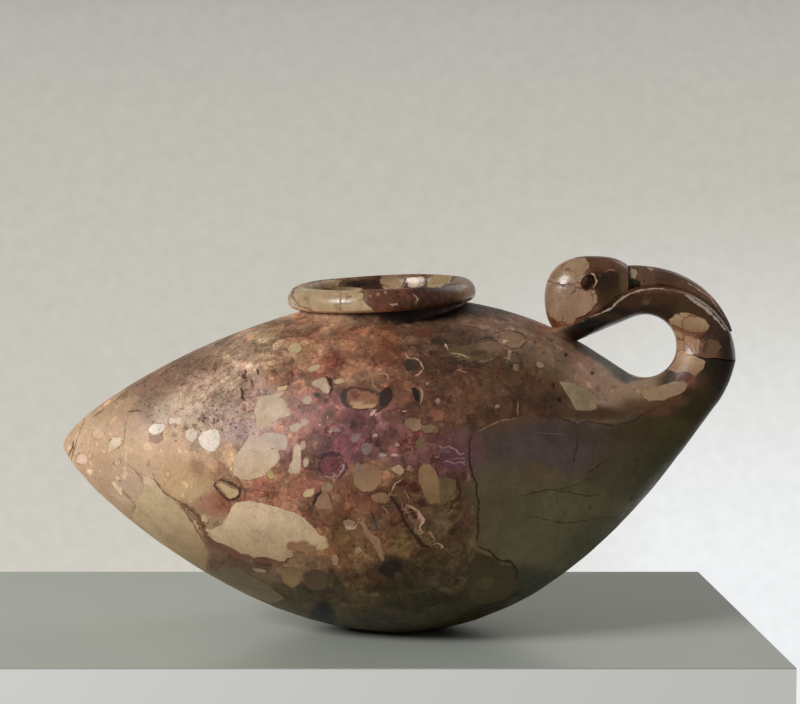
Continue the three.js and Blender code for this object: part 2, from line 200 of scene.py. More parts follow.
def skin(rings, joined_up=False):
    """Points and faces over rings of equal count. The ends close on the middles of their rings,
    or the last ring is joined to the first."""
    rows, count, _ = rings.shape
    points = rings.reshape(-1, 3)
    here = (np.arange(rows) * count)[:, None] + np.arange(count)
    there = np.roll(here, -1, axis=0)
    if not joined_up:
        here, there = here[:-1], there[:-1]
    quads = np.stack([here, there, np.roll(there, -1, axis=1), np.roll(here, -1, axis=1)], axis=2)
    if joined_up:
        return points, [quads.reshape(-1, 4)]
    first, last = len(points), len(points) + 1
    points = np.vstack([points, rings[0].mean(axis=0), rings[-1].mean(axis=0)])
    start = np.arange(count)
    beside = np.roll(start, -1)
    end = (rows - 1) * count
    front_fan = np.stack([np.full(count, first), start, beside], axis=1)
    end_fan = np.stack([np.full(count, last), beside + end, start + end], axis=1)
    return points, [quads.reshape(-1, 4), front_fan, end_fan]


def piece(name, points, faces):
    """An object at the origin, unturned, whose mesh holds the points in metres."""
    mesh = bpy.data.meshes.new(name)
    sizes = np.concatenate([np.full(len(part), part.shape[1]) for part in faces])
    corners = np.concatenate([part.ravel() for part in faces])
    mesh.vertices.add(len(points))
    mesh.vertices.foreach_set("co", (points * MM).astype(np.float32).ravel())
    mesh.loops.add(len(corners))
    mesh.loops.foreach_set("vertex_index", corners.astype(np.int32))
    mesh.polygons.add(len(sizes))
    mesh.polygons.foreach_set("loop_start", (np.cumsum(sizes) - sizes).astype(np.int32))
    mesh.update(calc_edges=True)
    made = bpy.data.objects.new(name, mesh)
    bpy.context.scene.collection.objects.link(made)
    return made


def triangles(made):
    """Corners less two for each face."""
    return len(made.data.loops) - 2 * len(made.data.polygons)


# %% [markdown]
# ## Random unevenness that is the same each time
#
# Hand-worked and weathered stone is never quite even. One small block of random numbers, drawn from a
# fixed seed, gives unevenness at any scale: each point looks up the eight numbers round it and mixes
# them smoothly. The same function later moves the pattern's edges.

# %% Smooth noise from a block of random numbers
LATTICE_SIZE = 32
lattice = np.random.default_rng(7).uniform(-1, 1, (LATTICE_SIZE,) * 3)


def noise(points, size, shift=0.0):
    """Values about -1 to 1 that change over lengths of the given size: the corners of the block's
    cell are mixed by 3t^2 - 2t^3 in each direction."""
    place = points / size + shift
    cell = np.floor(place).astype(int)
    part = place - cell
    part = part * part * (3 - 2 * part)
    total = np.zeros(len(points))
    for corner in itertools.product((0, 1), repeat=points.shape[1]):
        share = np.prod(np.where(corner, part, 1 - part), axis=1)
        index = (cell + corner) % LATTICE_SIZE
        deep = index[:, 2] if points.shape[1] == 3 else 0
        total += share * lattice[index[:, 0], index[:, 1], deep]
    return total


# %% [markdown]
# ## Cutting
#
# The bowl, its throat, the seat of the lip and the drilled eyes are taken out of the block with
# Blender's Boolean modifier, as a drill and a scraper would. Its result is kept at once, because the
# stone's pattern is worked out afterwards, on the finished points.

# %% A cutter that leaves a plain mesh behind
def cut(block, tool, operation="DIFFERENCE"):
    """Applies one Boolean to the block and throws the tool away."""
    modifier = block.modifiers.new(operation, "BOOLEAN")
    modifier.operation = operation
    modifier.solver = "MANIFOLD"
    modifier.object = tool
    graph = bpy.context.evaluated_depsgraph_get()
    result = bpy.data.meshes.new_from_object(block.evaluated_get(graph))
    block.modifiers.clear()
    result.materials.clear()
    old, spent = block.data, tool.data
    block.data = result
    bpy.data.objects.remove(tool)
    bpy.data.meshes.remove(old)
    bpy.data.meshes.remove(spent)
    print(block.name, operation.lower(), "leaves", triangles(block), "triangles")


# %% [markdown]
# ## The neck round the finger loop
#
# Neck sections are placed by their angle round the loop's centre, like the blades of a fan. Below the
# old break they belong to the body, above it to the neck. Under the bill the oval turns into a flat
# inner side, a crest, and a low roof. Past the top the neck runs straight down to the bird's back, and
# near its end it thickens into the web that closes the loop's drawn-out point.

# %% Sections of the neck and its strap
NECK_TOP_THICKNESS = 7.9  # up to the crest along its side, without the roof
NECK_TAPER = 1.5
ROOF_RISE = 1.2  # the neck's middle, above the crest along its side
CREST_ANGLES = (-20, 12)  # where the crest starts, and where it is full
STRAP_SLOPE = 22.8
STRAP_LENGTH = 24
STRAP_THICKNESS = 5.3
STRAP_END_HALF_WIDTH = 5.9
STRAP_WAIST_SHARE = 0.4


def neck_thickness(angle):
    """Straight over the root, then as (1 - s)^1.5 over the arch, and the roof's rise on top."""
    root = np.clip((angle - NECK_ROOT_ANGLE) / (MEND_ANGLE - NECK_ROOT_ANGLE), 0, 1)
    arch = np.clip((angle - MEND_ANGLE) / (90 - MEND_ANGLE), 0, 1)
    full = NECK_ROOT_THICKNESS + (NECK_MEND_THICKNESS - NECK_ROOT_THICKNESS) * root
    tapered = NECK_TOP_THICKNESS + (full - NECK_TOP_THICKNESS) * (1 - arch) ** NECK_TAPER
    return tapered + ROOF_RISE * smooth(angle, *CREST_ANGLES)


def neck_sections(angle):
    """Inner points, outer points and crests of the neck at angles round the loop."""
    crest_share = smooth(angle, *CREST_ANGLES)
    thickness = neck_thickness(angle)
    roof = thickness / 2 * (1 - crest_share) + ROOF_RISE * crest_share
    outer = around_loop(angle, LOOP_RADIUS + thickness)
    return around_loop(angle, LOOP_RADIUS), outer, 1 - roof / thickness


def strap_sections(share):
    """The same for the neck's last, straight stretch, by the share of its length."""
    along = heading(180 + STRAP_SLOPE) * STRAP_LENGTH * share[:, None]
    inner = around_loop(90 + STRAP_SLOPE, LOOP_RADIUS) + along
    waist = np.sin(np.pi / 2 * np.minimum(1, share / STRAP_WAIST_SHARE))
    thickness = NECK_TOP_THICKNESS + (STRAP_THICKNESS - NECK_TOP_THICKNESS) * waist + ROOF_RISE
    outer = inner + heading(90 + STRAP_SLOPE) * thickness[:, None]
    return inner, outer, 1 - ROOF_RISE / thickness


# %% [markdown]
# ## The body
#
# The body and the neck's root are one horn. Its sections stand upright from the tail to the breast and
# then turn round the finger loop. Rows of points lie evenly along the belly, and the columns are
# closer on the near side, which the photograph shows and where the pattern needs them finest.

# %% The horn
ROW_STEP = 0.75  # mm along the belly
FAR_COLUMNS, NEAR_COLUMNS = 52, 176
horn_angles = np.concatenate([
    np.linspace(0, np.pi, FAR_COLUMNS, endpoint=False),
    np.linspace(np.pi, 2 * np.pi, NEAR_COLUMNS, endpoint=False),
])


def resampled(line, step):
    """Points of a line a given step apart, measured along the line itself, without its first."""
    run = np.concatenate([[0], np.cumsum(np.linalg.norm(np.diff(line, axis=0), axis=1))])
    places = np.linspace(0, run[-1], int(run[-1] / step) + 1)[1:]
    return np.stack([np.interp(places, run, line[:, 0]), np.interp(places, run, line[:, 1])], axis=1)


def facing(belly):
    """The point of the back, or of the loop's round, that faces each point of the belly."""
    above = np.stack([belly[:, 0], joined(back_line, shoulder_line, belly[:, 0])], axis=1)
    beside = belly[:, 0] - LOOP[0]
    under = LOOP + np.stack([beside, -np.sqrt(np.clip(LOOP_RADIUS**2 - beside**2, 0, None))], axis=1)
    away = belly - LOOP
    round_it = LOOP + away * LOOP_RADIUS / np.linalg.norm(away, axis=1, keepdims=True)
    on_loop = np.where(beside[:, None] < 0, under, round_it)
    return np.where(belly[:, :1] < back_meets_loop[0], above, on_loop)


def body_rings(belly, angles):
    """Upright sections at points of the belly, squarer behind and elliptical in front."""
    front = np.clip(belly[:, 0] / neck_root[0], 0, 1)
    fullness = BODY_FULLNESS + (2 - BODY_FULLNESS) * front**2
    width = joined(tail_side, breast_side, belly[:, 0])
    return ovals(facing(belly), belly, width, 0.5, fullness, angles)


belly_points = np.vstack([resampled(belly_line, ROW_STEP), resampled(breast_line, ROW_STEP)])
root_inner, root_outer, root_crest = neck_sections(np.linspace(NECK_ROOT_ANGLE, MEND_ANGLE, 22)[1:])
horn = np.concatenate([
    body_rings(belly_points, horn_angles),
    ovals(root_inner, root_outer, NECK_HALF_WIDTH, root_crest, 2, horn_angles),
])


def eased(rings, near, reach, spread):
    """Rings averaged with their neighbours, by a bell of the given spread, most at the ring near and
    along the sides of the sections, which takes the crease out where the fan begins."""
    rows = np.arange(len(rings))
    offsets = np.arange(-2 * spread, 2 * spread + 1)
    bell = np.exp(-((offsets / spread) ** 2))
    mean = sum(share * rings[np.clip(rows + step, 0, len(rows) - 1)] for step, share in zip(offsets, bell))
    weight = np.exp(-(((rows - near) / reach) ** 2))[:, None, None] * np.abs(np.sin(horn_angles))[:, None]
    return rings + weight * (mean / bell.sum() - rings)


EASE_REACH, EASE_SPREAD = 24, 9  # rings
fan_start = int(np.argmin(np.abs(belly_points[:, 0] - LOOP[0])))
for _ in range(2):
    horn = eased(horn, fan_start, EASE_REACH, EASE_SPREAD)
horn[:, :, 2] = np.maximum(horn[:, :, 2], 0)  # the flat that it stands on is ground off level
print("horn of", horn.shape[0], "rings,", horn.shape[1], "points round")

# %% [markdown]
# ## The old break across the neck
#
# A broken face isn't flat. Both sides of this one are moved along the neck by the same noise, which
# dies away a few millimetres off, so that they still fit each other with a hair's breadth between.

# %% A wavy break that fits
BREAK_GAP = 0.3
BREAK_WAVE = 0.5
BREAK_REACH = 3.0
break_middle = around_loop(MEND_ANGLE, LOOP_RADIUS + NECK_MEND_THICKNESS / 2)[0]
along_neck = heading(MEND_ANGLE + 90)
break_centre = np.array([break_middle[0], 0, break_middle[1]])
break_normal = np.array([along_neck[0], 0, along_neck[1]])


def waved(rings, centre, normal, radius):
    """Rings moved along a break's normal by noise that is read on the break's own plane, and that
    dies away beyond the break's radius."""
    points = rings.reshape(-1, 3)
    off = (points - centre) @ normal
    on_plane = points - off[:, None] * normal
    wave = BREAK_WAVE * (noise(on_plane, 4.1) + 0.4 * noise(on_plane, 1.3, 5.0))
    beside = np.linalg.norm(on_plane - centre, axis=1)
    wave *= np.exp(-((off / BREAK_REACH) ** 2)) * (1 - smooth(beside, radius, radius + 3))
    return (points + normal * wave[:, None]).reshape(rings.shape)


NECK_BREAK_RADIUS = 10
body = piece("breccia_body", *skin(waved(horn, break_centre, break_normal, NECK_BREAK_RADIUS)))
print("body before cutting has", triangles(body), "triangles")

# %% [markdown]
# ## The bowl and its mouth
#
# The carver drilled down through the back and then scraped the bowl wider than its mouth. The bowl's
# sections are the body's own, one wall's thickness in, and its ends are rounded. A collar round the
# mouth carries the lip, and both lean slightly back with it.

# %% Drums on the mouth's own axis
MOUTH_X = -4.9
MOUTH_RADIUS = 22.3
LIP_BREADTH = 5.6
LIP_HEIGHT = 6.5
LIP_TILT = math.radians(2.7)
COLLAR_RADIUS = MOUTH_RADIUS + LIP_BREADTH - 3.3
COLLAR_DEPTH = 15
THROAT_RADIUS = MOUTH_RADIUS - 0.8
THROAT_DEPTH = 32.9
CUT_OVER = 9  # how far the cutting drums reach over the lip
SEAT_SINK = 1.7  # how far the lip's seat lies below the back's line
seat_height = height_at(back_line, MOUTH_X) - SEAT_SINK


def turned(profile, count):
    """Rings round the upright axis: (r cos a, r sin a, z) for each (r, z) of the profile."""
    angles = evenly(count)
    x, y = profile[:, :1] * np.cos(angles), profile[:, :1] * np.sin(angles)
    return np.stack([x, y, np.broadcast_to(profile[:, 1:], x.shape)], axis=2)


def at_mouth(rings):
    """Leans rings drawn on the mouth's axis by the lip's tilt and sets them on its seat."""
    x, y, z = rings[..., 0], rings[..., 1], rings[..., 2]
    lean_x = x * math.cos(LIP_TILT) - z * math.sin(LIP_TILT) + MOUTH_X
    lean_z = x * math.sin(LIP_TILT) + z * math.cos(LIP_TILT) + seat_height
    return np.stack([lean_x, y, lean_z], axis=-1)


def drum(name, radius, high, low, rows=12, count=240):
    """A cylinder on the mouth's axis, from low to high over the seat."""
    profile = np.stack([np.full(rows, float(radius)), np.linspace(high, low, rows)], axis=1)
    return piece(name, *skin(at_mouth(turned(profile, count))))


# %% The bowl's sections
WALL = 7.5
BOWL_REAR = TAIL[0] + 32.3
BOWL_FRONT = LOOP[0] - 28.7
BOWL_ROUNDING = 2.4


def bowl_rings(turn, angles):
    """Sections from end to end: their half sizes shrink as (1 - |cos t|^n)^(1/n) towards both."""
    x = BOWL_REAR + (BOWL_FRONT - BOWL_REAR) * (1 - np.cos(turn)) / 2
    share = (1 - np.abs(np.cos(turn)) ** BOWL_ROUNDING) ** (1 / BOWL_ROUNDING)
    top = height_at(back_line, x)
    top = np.where(x < 0, top, height_at(shoulder_line, x))
    bottom = np.maximum(0, joined(belly_line, breast_line, x))
    middle = (top + bottom) / 2
    reach = ((top - bottom) / 2 - WALL) * share
    half = (joined(tail_side, breast_side, x) - WALL) * share
    upper, lower = np.stack([x, middle + reach], axis=1), np.stack([x, middle - reach], axis=1)
    return ovals(upper, lower, half, 0.5, BODY_FULLNESS, angles)


bowl = piece("bowl", *skin(bowl_rings(np.linspace(0, np.pi, 66)[1:-1], evenly(96))))
cut(body, drum("collar", COLLAR_RADIUS, 0, -COLLAR_DEPTH), "UNION")
cut(body, drum("above_seat", COLLAR_RADIUS, LIP_HEIGHT + CUT_OVER, 0))
cut(body, bowl)
cut(body, drum("throat", THROAT_RADIUS, LIP_HEIGHT + CUT_OVER, -THROAT_DEPTH, 60))

# %% [markdown]
# ## The tail's chip
#
# At the tail a small chip came off and was set back. Its break slants, and the tool that parts it is a
# drum whose face carries the break's own waves, so that chip and body get the same face.

# %% The tail tip and its break
TIP_LENGTH = 3.6
TIP_SLANT = math.radians(19)
TIP_DRUM = 30  # mm across and back, enough to take in the whole tip
TIP_RINGS_END = -88  # x beyond which the tip's own rings aren't needed
tip_normal = np.array([math.cos(TIP_SLANT), 0, -math.sin(TIP_SLANT)])
tip_up = np.array([-math.sin(TIP_SLANT), 0, -math.cos(TIP_SLANT)])


def tail_drum(shift):
    """Everything behind the break: rings spread over its face, and then back along its side."""
    radius = np.append(np.linspace(0.2, TIP_DRUM, 100), TIP_DRUM)
    depth = np.append(np.zeros(100), -TIP_DRUM)
    rings = turned(np.stack([radius, depth], axis=1), 120)
    centre = np.array([TAIL[0] + TIP_LENGTH + shift, 0, TAIL[1]])
    placed = centre + rings[..., :1] * tip_up + rings[..., 1:2] * [0, 1, 0] + rings[..., 2:] * tip_normal
    return piece("tail_drum", *skin(waved(placed, centre, tip_normal, TIP_DRUM)))


cut(body, tail_drum(BREAK_GAP))
fine_belly = resampled(belly_line, 0.16)
fine_belly = fine_belly[fine_belly[:, 0] < TIP_RINGS_END]
tail_tip = piece("breccia_tail_tip", *skin(body_rings(fine_belly, horn_angles)))
cut(tail_tip, tail_drum(0), "INTERSECT")

# %% [markdown]
# ## The lip
#
# The lip was turned or rubbed to a rolled ring. It is highest near the mouth, falls off wide on the
# outside and turns under to the collar, which leaves the shadow line beneath it.

# %% The rolled lip
LIP_RADIUS = MOUTH_RADIUS + LIP_BREADTH
LIP_BULGE = 0.36 * LIP_HEIGHT  # height of its widest line
LIP_TOP = MOUTH_RADIUS + 0.32 * LIP_BREADTH  # where it is highest


def quarter(centre, half_width, half_height, start, end, count):
    """Part of an ellipse round a centre, from one angle to another in degrees."""
    turn = np.radians(np.linspace(start, end, count))
    return centre + np.stack([half_width * np.cos(turn), half_height * np.sin(turn)], axis=1)


roll = xz(LIP_TOP, LIP_BULGE)
rise = LIP_HEIGHT - LIP_BULGE
t = np.linspace(0, 1, 14)[1:, None]
undercut = (
    xz(LIP_RADIUS, LIP_BULGE) * (1 - t) ** 3
    + xz(LIP_RADIUS, LIP_BULGE / 3) * 3 * t * (1 - t) ** 2
    + xz(LIP_RADIUS - 1.1, 0) * 3 * t**2 * (1 - t)
    + xz(COLLAR_RADIUS, 0) * t**3
)
lip_profile = np.vstack([
    np.linspace(xz(THROAT_RADIUS, 0), xz(MOUTH_RADIUS, LIP_BULGE), 12)[:-1],
    quarter(roll, LIP_TOP - MOUTH_RADIUS, rise, 180, 90, 22)[:-1],
    quarter(roll, LIP_RADIUS - LIP_TOP, rise, 90, 0, 26),
    undercut,
])
lip = piece("breccia_lip", *skin(at_mouth(turned(lip_profile, 400)), joined_up=True))
print("lip of", triangles(lip), "triangles, profile of", len(lip_profile), "points")

# %% The neck, from the break to the bird's back
past_break = np.linspace(MEND_ANGLE, 90 + STRAP_SLOPE, 150)
arch_inner, arch_outer, arch_crest = neck_sections(past_break)
strap_share = np.linspace(0, 1, 66)[1:]
strap_inner, strap_outer, strap_crest = strap_sections(strap_share)
strap_half = NECK_HALF_WIDTH + (STRAP_END_HALF_WIDTH - NECK_HALF_WIDTH) * smooth(strap_share, 0.45, 0.85)
neck_rings = ovals(
    np.vstack([arch_inner, strap_inner]),
    np.vstack([arch_outer, strap_outer]),
    np.concatenate([np.full(len(past_break), NECK_HALF_WIDTH), strap_half]),
    np.concatenate([arch_crest, strap_crest]),
    angles=evenly(128),
)
neck_rings[0] += break_normal * BREAK_GAP
neck = piece("breccia_neck", *skin(waved(neck_rings, break_centre, break_normal, NECK_BREAK_RADIUS)))
print("neck of", triangles(neck), "triangles")

# %% [markdown]
# ## The head
#
# The head is a rounded block with a flat face in front, from which the bill grows. Its outline is four
# quarter curves, from the nape over the top to the brow, and under the chin to the jaw. The eyes were
# drilled for inlays that are lost.

# %% Outlines and sections of the head
HEAD_LENGTH = 24.4
HEAD_HEIGHT = 23.8
HEAD_HALF_WIDTH = 8.3
HEAD_FULLNESS = 2.2
FACE_HALF_WIDTH = 6.2
FACE_EDGE = 0.6  # rounding of the edge round the face
CURVE_HOLD = 0.62  # how far a quarter of the outline keeps its direction
nape = LOOP + xz(-29.9, 14.6)
face_x = nape[0] + HEAD_LENGTH
top_z = LOOP[1] + 26.8
poll = xz(face_x - 11.5, top_z)
chin = xz(face_x - 16.5, top_z - HEAD_HEIGHT)
brow = xz(face_x, top_z - 2.6)
jaw = xz(face_x, top_z - 15)


def from_nape(end):
    """A quarter of the head's outline: it leaves the nape upright and arrives level."""
    reach = (end - nape) * CURVE_HOLD
    return curve(nape, xz(0, reach[1]), end, xz(reach[0], 0))


nape_to_poll, nape_to_chin = from_nape(poll), from_nape(chin)
poll_to_brow = curve(poll, xz(11.5 * CURVE_HOLD, 0), brow, 2.6 * heading(-36))
chin_to_jaw = curve(chin, xz(5.5, 0), jaw, xz(5.5, 0))


def head_rings(x, angles):
    """Sections at places along the head: half an ellipse in plan that narrows towards the face."""
    top = np.where(x < poll[0], height_at(nape_to_poll, x), height_at(poll_to_brow, x))
    bottom = np.where(x < chin[0], height_at(nape_to_chin, x), height_at(chin_to_jaw, x))
    share = (x - nape[0]) / HEAD_LENGTH
    skull = HEAD_HALF_WIDTH * np.sqrt(1 - (1 - np.minimum(1, share / 0.5)) ** 2)
    narrowing = smooth(share, 0.4, 1)
    half = skull + (FACE_HALF_WIDTH - skull) * narrowing
    upper, lower = np.stack([x, top], axis=1), np.stack([x, bottom], axis=1)
    return ovals(upper, lower, half, 0.5, HEAD_FULLNESS, angles)


def rounded_end(rings, radius, rows):
    """Adds rings that shrink towards their middle by r (1 - cos t) as they go on by r sin t."""
    last = rings[-1]
    middle = last.mean(axis=0)
    out = (last - middle) / np.linalg.norm(last - middle, axis=1, keepdims=True)
    turn = np.linspace(0, np.pi / 2, rows)[1:, None, None]
    step = radius * np.sin(turn) * np.array([1, 0, 0])
    return np.concatenate([rings, last - out * radius * (1 - np.cos(turn)) + step])


head_turn = np.linspace(0, np.pi / 2, 130)[1:]
head_x = nape[0] + (HEAD_LENGTH - FACE_EDGE) * (1 - np.cos(head_turn))
head = piece("breccia_head", *skin(rounded_end(head_rings(head_x, evenly(160)), FACE_EDGE, 7)))

# %% The drilled eyes
EYE_RADIUS = 2.6
EYE_FLOOR_RADIUS = 1.7
EYE_DEPTH = 4.2
EYE_FLARE = (EYE_RADIUS - EYE_FLOOR_RADIUS) / EYE_DEPTH
eye = xz(face_x - 11.7, top_z - 7.3)
for side in (-1, 1):
    floor_at = HEAD_HALF_WIDTH - EYE_DEPTH
    bore = np.array([[EYE_FLOOR_RADIUS + EYE_FLARE * (14 - floor_at), 14], [EYE_FLOOR_RADIUS, floor_at]])
    x, y, z = np.moveaxis(turned(bore, 64), -1, 0)
    drilled = np.stack([eye[0] + x, side * z, eye[1] - side * y], axis=-1)
    cut(head, piece("bore", *skin(drilled)))

# %% [markdown]
# ## The bill
#
# The long bill lies back along the top of the neck, and both curve round the loop together. It is
# placed by the same angles as the neck, so that it follows it at every point.

# %% The bill
BILL_TIP_ANGLE = 9.8
BILL_BASE_HEIGHT, BILL_TIP_HEIGHT = 6.3, 0.7
BILL_BASE_WIDTH, BILL_TIP_WIDTH = 9.6, 1.8
BILL_SINK = 1.6  # its underside, below the neck's roof
BILL_INTO_HEAD = 6  # degrees round the loop, past the face
face_middle = (brow + jaw) / 2 - LOOP
face_angle = math.degrees(math.atan2(face_middle[1], face_middle[0]))
bill_span = face_angle - BILL_TIP_ANGLE
share = np.linspace(0, (bill_span + BILL_INTO_HEAD) / bill_span, 220)
bill_angle = BILL_TIP_ANGLE + bill_span * share
roof_radius = LOOP_RADIUS + neck_thickness(bill_angle)
bill_height = BILL_TIP_HEIGHT + (BILL_BASE_HEIGHT - BILL_TIP_HEIGHT) * share**0.95
bill_rings = ovals(
    around_loop(bill_angle, roof_radius - BILL_SINK),
    around_loop(bill_angle, roof_radius + bill_height),
    (BILL_TIP_WIDTH + (BILL_BASE_WIDTH - BILL_TIP_WIDTH) * share) / 2,
    0.4,
    angles=evenly(96),
)
bill = piece("breccia_bill", *skin(bill_rings))
pieces = [body, tail_tip, lip, neck, head, bill]
print("triangles", {made.name: triangles(made) for made in pieces})

# %% [markdown]
# ## Material helpers
#
# Hex colours are read the way a paint chart gives them and turned into the linear values that shaders
# count in. One small helper adds any node, sets its values and joins its inputs.

# %% Colours and nodes
def linear(hex_colour):
    """sRGB hex to linear parts: c / 12.92 below 0.04045, else ((c + 0.055) / 1.055)^2.4."""
    parts = np.array([int(hex_colour[i : i + 2], 16) / 255 for i in (0, 2, 4)])
    return np.where(parts <= 0.04045, parts / 12.92, ((parts + 0.055) / 1.055) ** 2.4)


def paint(hex_colour):
    """The same three parts, and 1 for full cover, as sockets take a colour."""
    return (*linear(hex_colour), 1.0)


# Unless a call says otherwise, maths multiplies, vectors are scaled, ranges ease, and mixes are of colours
USUAL_SETTINGS = {
    "Math": {"operation": "MULTIPLY"},
    "VectorMath": {"operation": "SCALE"},
    "MapRange": {"interpolation_type": "SMOOTHSTEP"},
    "Mix": {"data_type": "RGBA"},
}


def add(tree, kind, *inputs, named=(), out=None, **settings):
    """Adds a node of any kind and gives back one of its outputs, else the first. Its inputs, in their
    own order or named, are values, outputs that feed them, or None where one stays as it is."""
    node = tree.nodes.new("ShaderNode" + kind)
    for name, value in {**USUAL_SETTINGS.get(kind, {}), **settings}.items():
        setattr(node, name, value)
    in_order = zip([socket for socket in node.inputs if socket.enabled], inputs)
    by_name = [(node.inputs[name], value) for name, value in dict(named).items()]
    for socket, value in [*in_order, *by_name]:
        if isinstance(value, bpy.types.NodeSocket):
            tree.links.new(value, socket)
        elif value is not None:
            socket.default_value = value
    given_out = [socket for socket in node.outputs if socket.enabled]
    return node.outputs[out] if out else next(iter(given_out), None)


def new_material(name):
    """A material with an empty node tree, and its tree."""
    material = bpy.data.materials.new(name)
    material.use_nodes = True
    material.node_tree.nodes.clear()
    return material, material.node_tree


# %% [markdown]
# ## The stage
#
# The vessel stands on a pale slab before a plain wall. The slab is a painted board that takes the
# shadow; its edges are lighter than its top. The wall stands far behind, so that it is in no other
# view's way, and is wide enough for a view from the breast. The camera sees it as a glow that gets
# lighter downwards and to the lower right, as in the photograph. To the light that falls on the vessel
# it is a dull grey wall.

# %% Slab and wall
SLAB_LEFT, SLAB_RIGHT = -620, 112  # mm, as all sizes here
SLAB_FRONT, SLAB_BACK = -63, 92
SLAB_DEPTH = 40
SLAB_SLANT = 14  # by which its right end turns away to the left
EDGE_FROM = 0.3  # below the slab's top, where the lighter paint starts
WALL_Y = 1700
WALL_LEFT, WALL_RIGHT = -4500, 2500
WALL_FOOT, WALL_TOP = -2600, 1050
WALL_THICKNESS = 10


def box_piece(name, low, high, slant=0.0):
    """A block between two corners; slant moves its right back edge to the left."""
    corners = np.array(list(itertools.product(*zip(low, high))), dtype=float)
    corners[:, 0] -= slant * ((corners[:, 0] > low[0] + 1) & (corners[:, 1] > low[1] + 1))
    faces = np.array([[0, 1, 3, 2], [4, 6, 7, 5], [0, 4, 5, 1], [2, 3, 7, 6], [0, 2, 6, 4], [1, 5, 7, 3]])
    made = piece(name, corners, [faces])
    made.data.shade_flat()
    return made


slab = box_piece(
    "stage_slab", (SLAB_LEFT, SLAB_FRONT, -SLAB_DEPTH), (SLAB_RIGHT, SLAB_BACK, 0), SLAB_SLANT
)
wall = box_piece(
    "stage_wall", (WALL_LEFT, WALL_Y, WALL_FOOT), (WALL_RIGHT, WALL_Y + WALL_THICKNESS, WALL_TOP)
)

# %% Paints of the slab and the wall
# Satin paint, rolled on: it mirrors softly, and its top is faintly uneven
BOARD_PATCHES = 14.0  # to a metre
board_paint, tree = new_material("painted board, satin pale grey green")
place = add(tree, "TexCoord", out="Object")
uneven = add(tree, "TexNoise", place, BOARD_PATCHES, 5.0)
top_paint = add(tree, "Mix", uneven, paint("aeb4a9"), paint("b8bdb2"))
height = add(tree, "SeparateXYZ", place, out="Z")
on_edge = add(tree, "Math", height, -EDGE_FROM * MM, operation="LESS_THAN")
board_colour = add(tree, "Mix", on_edge, top_paint, paint("fbfbf6"))
board = add(tree, "BsdfPrincipled", named={"Base Color": board_colour, "Roughness": 0.27})
add(tree, "OutputMaterial", board)
slab.data.materials.append(board_paint)

# Limewash on plaster: dull, with sandy lumps about a centimetre across
PLASTER_LUMPS = 96.0  # to a metre
DARKER_ABOVE, LIGHTER_BELOW = 0.177, -0.292  # heights in m between which the wall gets lighter
LIGHTER_RIGHT = 0.215  # m to the right, where it is lightest
wall_paint, tree = new_material("limewashed wall")
place = add(tree, "TexCoord", out="Object")
at = add(tree, "SeparateXYZ", place).node.outputs
lowness = add(tree, "MapRange", at["Z"], DARKER_ABOVE, LIGHTER_BELOW, interpolation_type="LINEAR")
rightness = add(tree, "MapRange", at["X"], 0.0, LIGHTER_RIGHT, interpolation_type="LINEAR")
early = add(tree, "Math", lowness, 0.6, operation="POWER")
left_side = add(tree, "Mix", early, paint("b1afa8"), paint("d0ccc1"))
corner = add(tree, "Math", add(tree, "MapRange", lowness, 0.28), rightness)
whole = add(tree, "Mix", corner, left_side, paint("eff1f2"))
lumps = add(tree, "TexNoise", place, PLASTER_LUMPS, 3.0)
lumps = add(tree, "MapRange", lumps, 0.0, 1.0, 0.93, 1.07, interpolation_type="LINEAR")
glow = add(tree, "Emission", whole, lumps)
dull = add(tree, "BsdfDiffuse", paint("b8b8b2"))
ray = add(tree, "LightPath").node.outputs
seen = add(tree, "Math", ray["Is Camera Ray"], ray["Is Glossy Ray"], operation="MAXIMUM")
seen = add(tree, "Math", seen, ray["Is Transmission Ray"], operation="MAXIMUM")
add(tree, "OutputMaterial", add(tree, "MixShader", seen, dull, glow))
wall.data.materials.append(wall_paint)
print("stage", slab.dimensions[:], wall.dimensions[:], "painted")

# %% [markdown]
# ## Light
#
# One large soft lamp stands far to the left, a little above the bird and in front of it, and a weaker
# one behind it to the right keeps the far end of the slab light. The room gives only a little. Together
# they bring a surface that faces the main lamp to the level at which a colour renders about as it is
# written. Each lamp's place is kept, because the stone's colours are worked out with it later.

# %% Lamps and room
LAMPS = [  # name, azimuth from +X and elevation in degrees, level, size in m
    ("softbox", -146, 27, 0.97, 0.5),
    ("window", 42, 38, 0.16, 0.9),
]
LAMP_DISTANCE = 1.5  # m
LAMP_AIM_HEIGHT = 0.05  # m
ROOM_LEVEL = 0.16
lamp_places = []
for name, azimuth, elevation, level, size in LAMPS:
    turn, lift = math.radians(azimuth), math.radians(elevation)
    to_lamp = np.array([math.cos(lift) * math.cos(turn), math.cos(lift) * math.sin(turn), math.sin(lift)])
    light = bpy.data.lights.new(name, "AREA")
    light.size = size
    light.energy = level * (math.pi * LAMP_DISTANCE) ** 2  # W, so that white there renders at the level
    lamp = bpy.data.objects.new(name, light)
    lamp.location = to_lamp * LAMP_DISTANCE + [0, 0, LAMP_AIM_HEIGHT]
    lamp_places.append(np.array(lamp.location) / MM)
    lamp.rotation_euler = (math.pi / 2 - lift, 0, turn + math.pi / 2)
    bpy.context.scene.collection.objects.link(lamp)

room = bpy.data.worlds.new("room")
room.use_nodes = True
room.node_tree.nodes["Background"].inputs["Color"].default_value = paint("f4f5f7")
room.node_tree.nodes["Background"].inputs["Strength"].default_value = ROOM_LEVEL
bpy.context.scene.world = room
bpy.context.scene.view_settings.view_transform = "Standard"

# %% [markdown]
# ## Weathering
#
# Five thousand years have taken the evenness off the polish. All skins are moved a tenth of a
# millimetre or so in and out, over lengths that a hand would feel. The flat on the table stays flat.

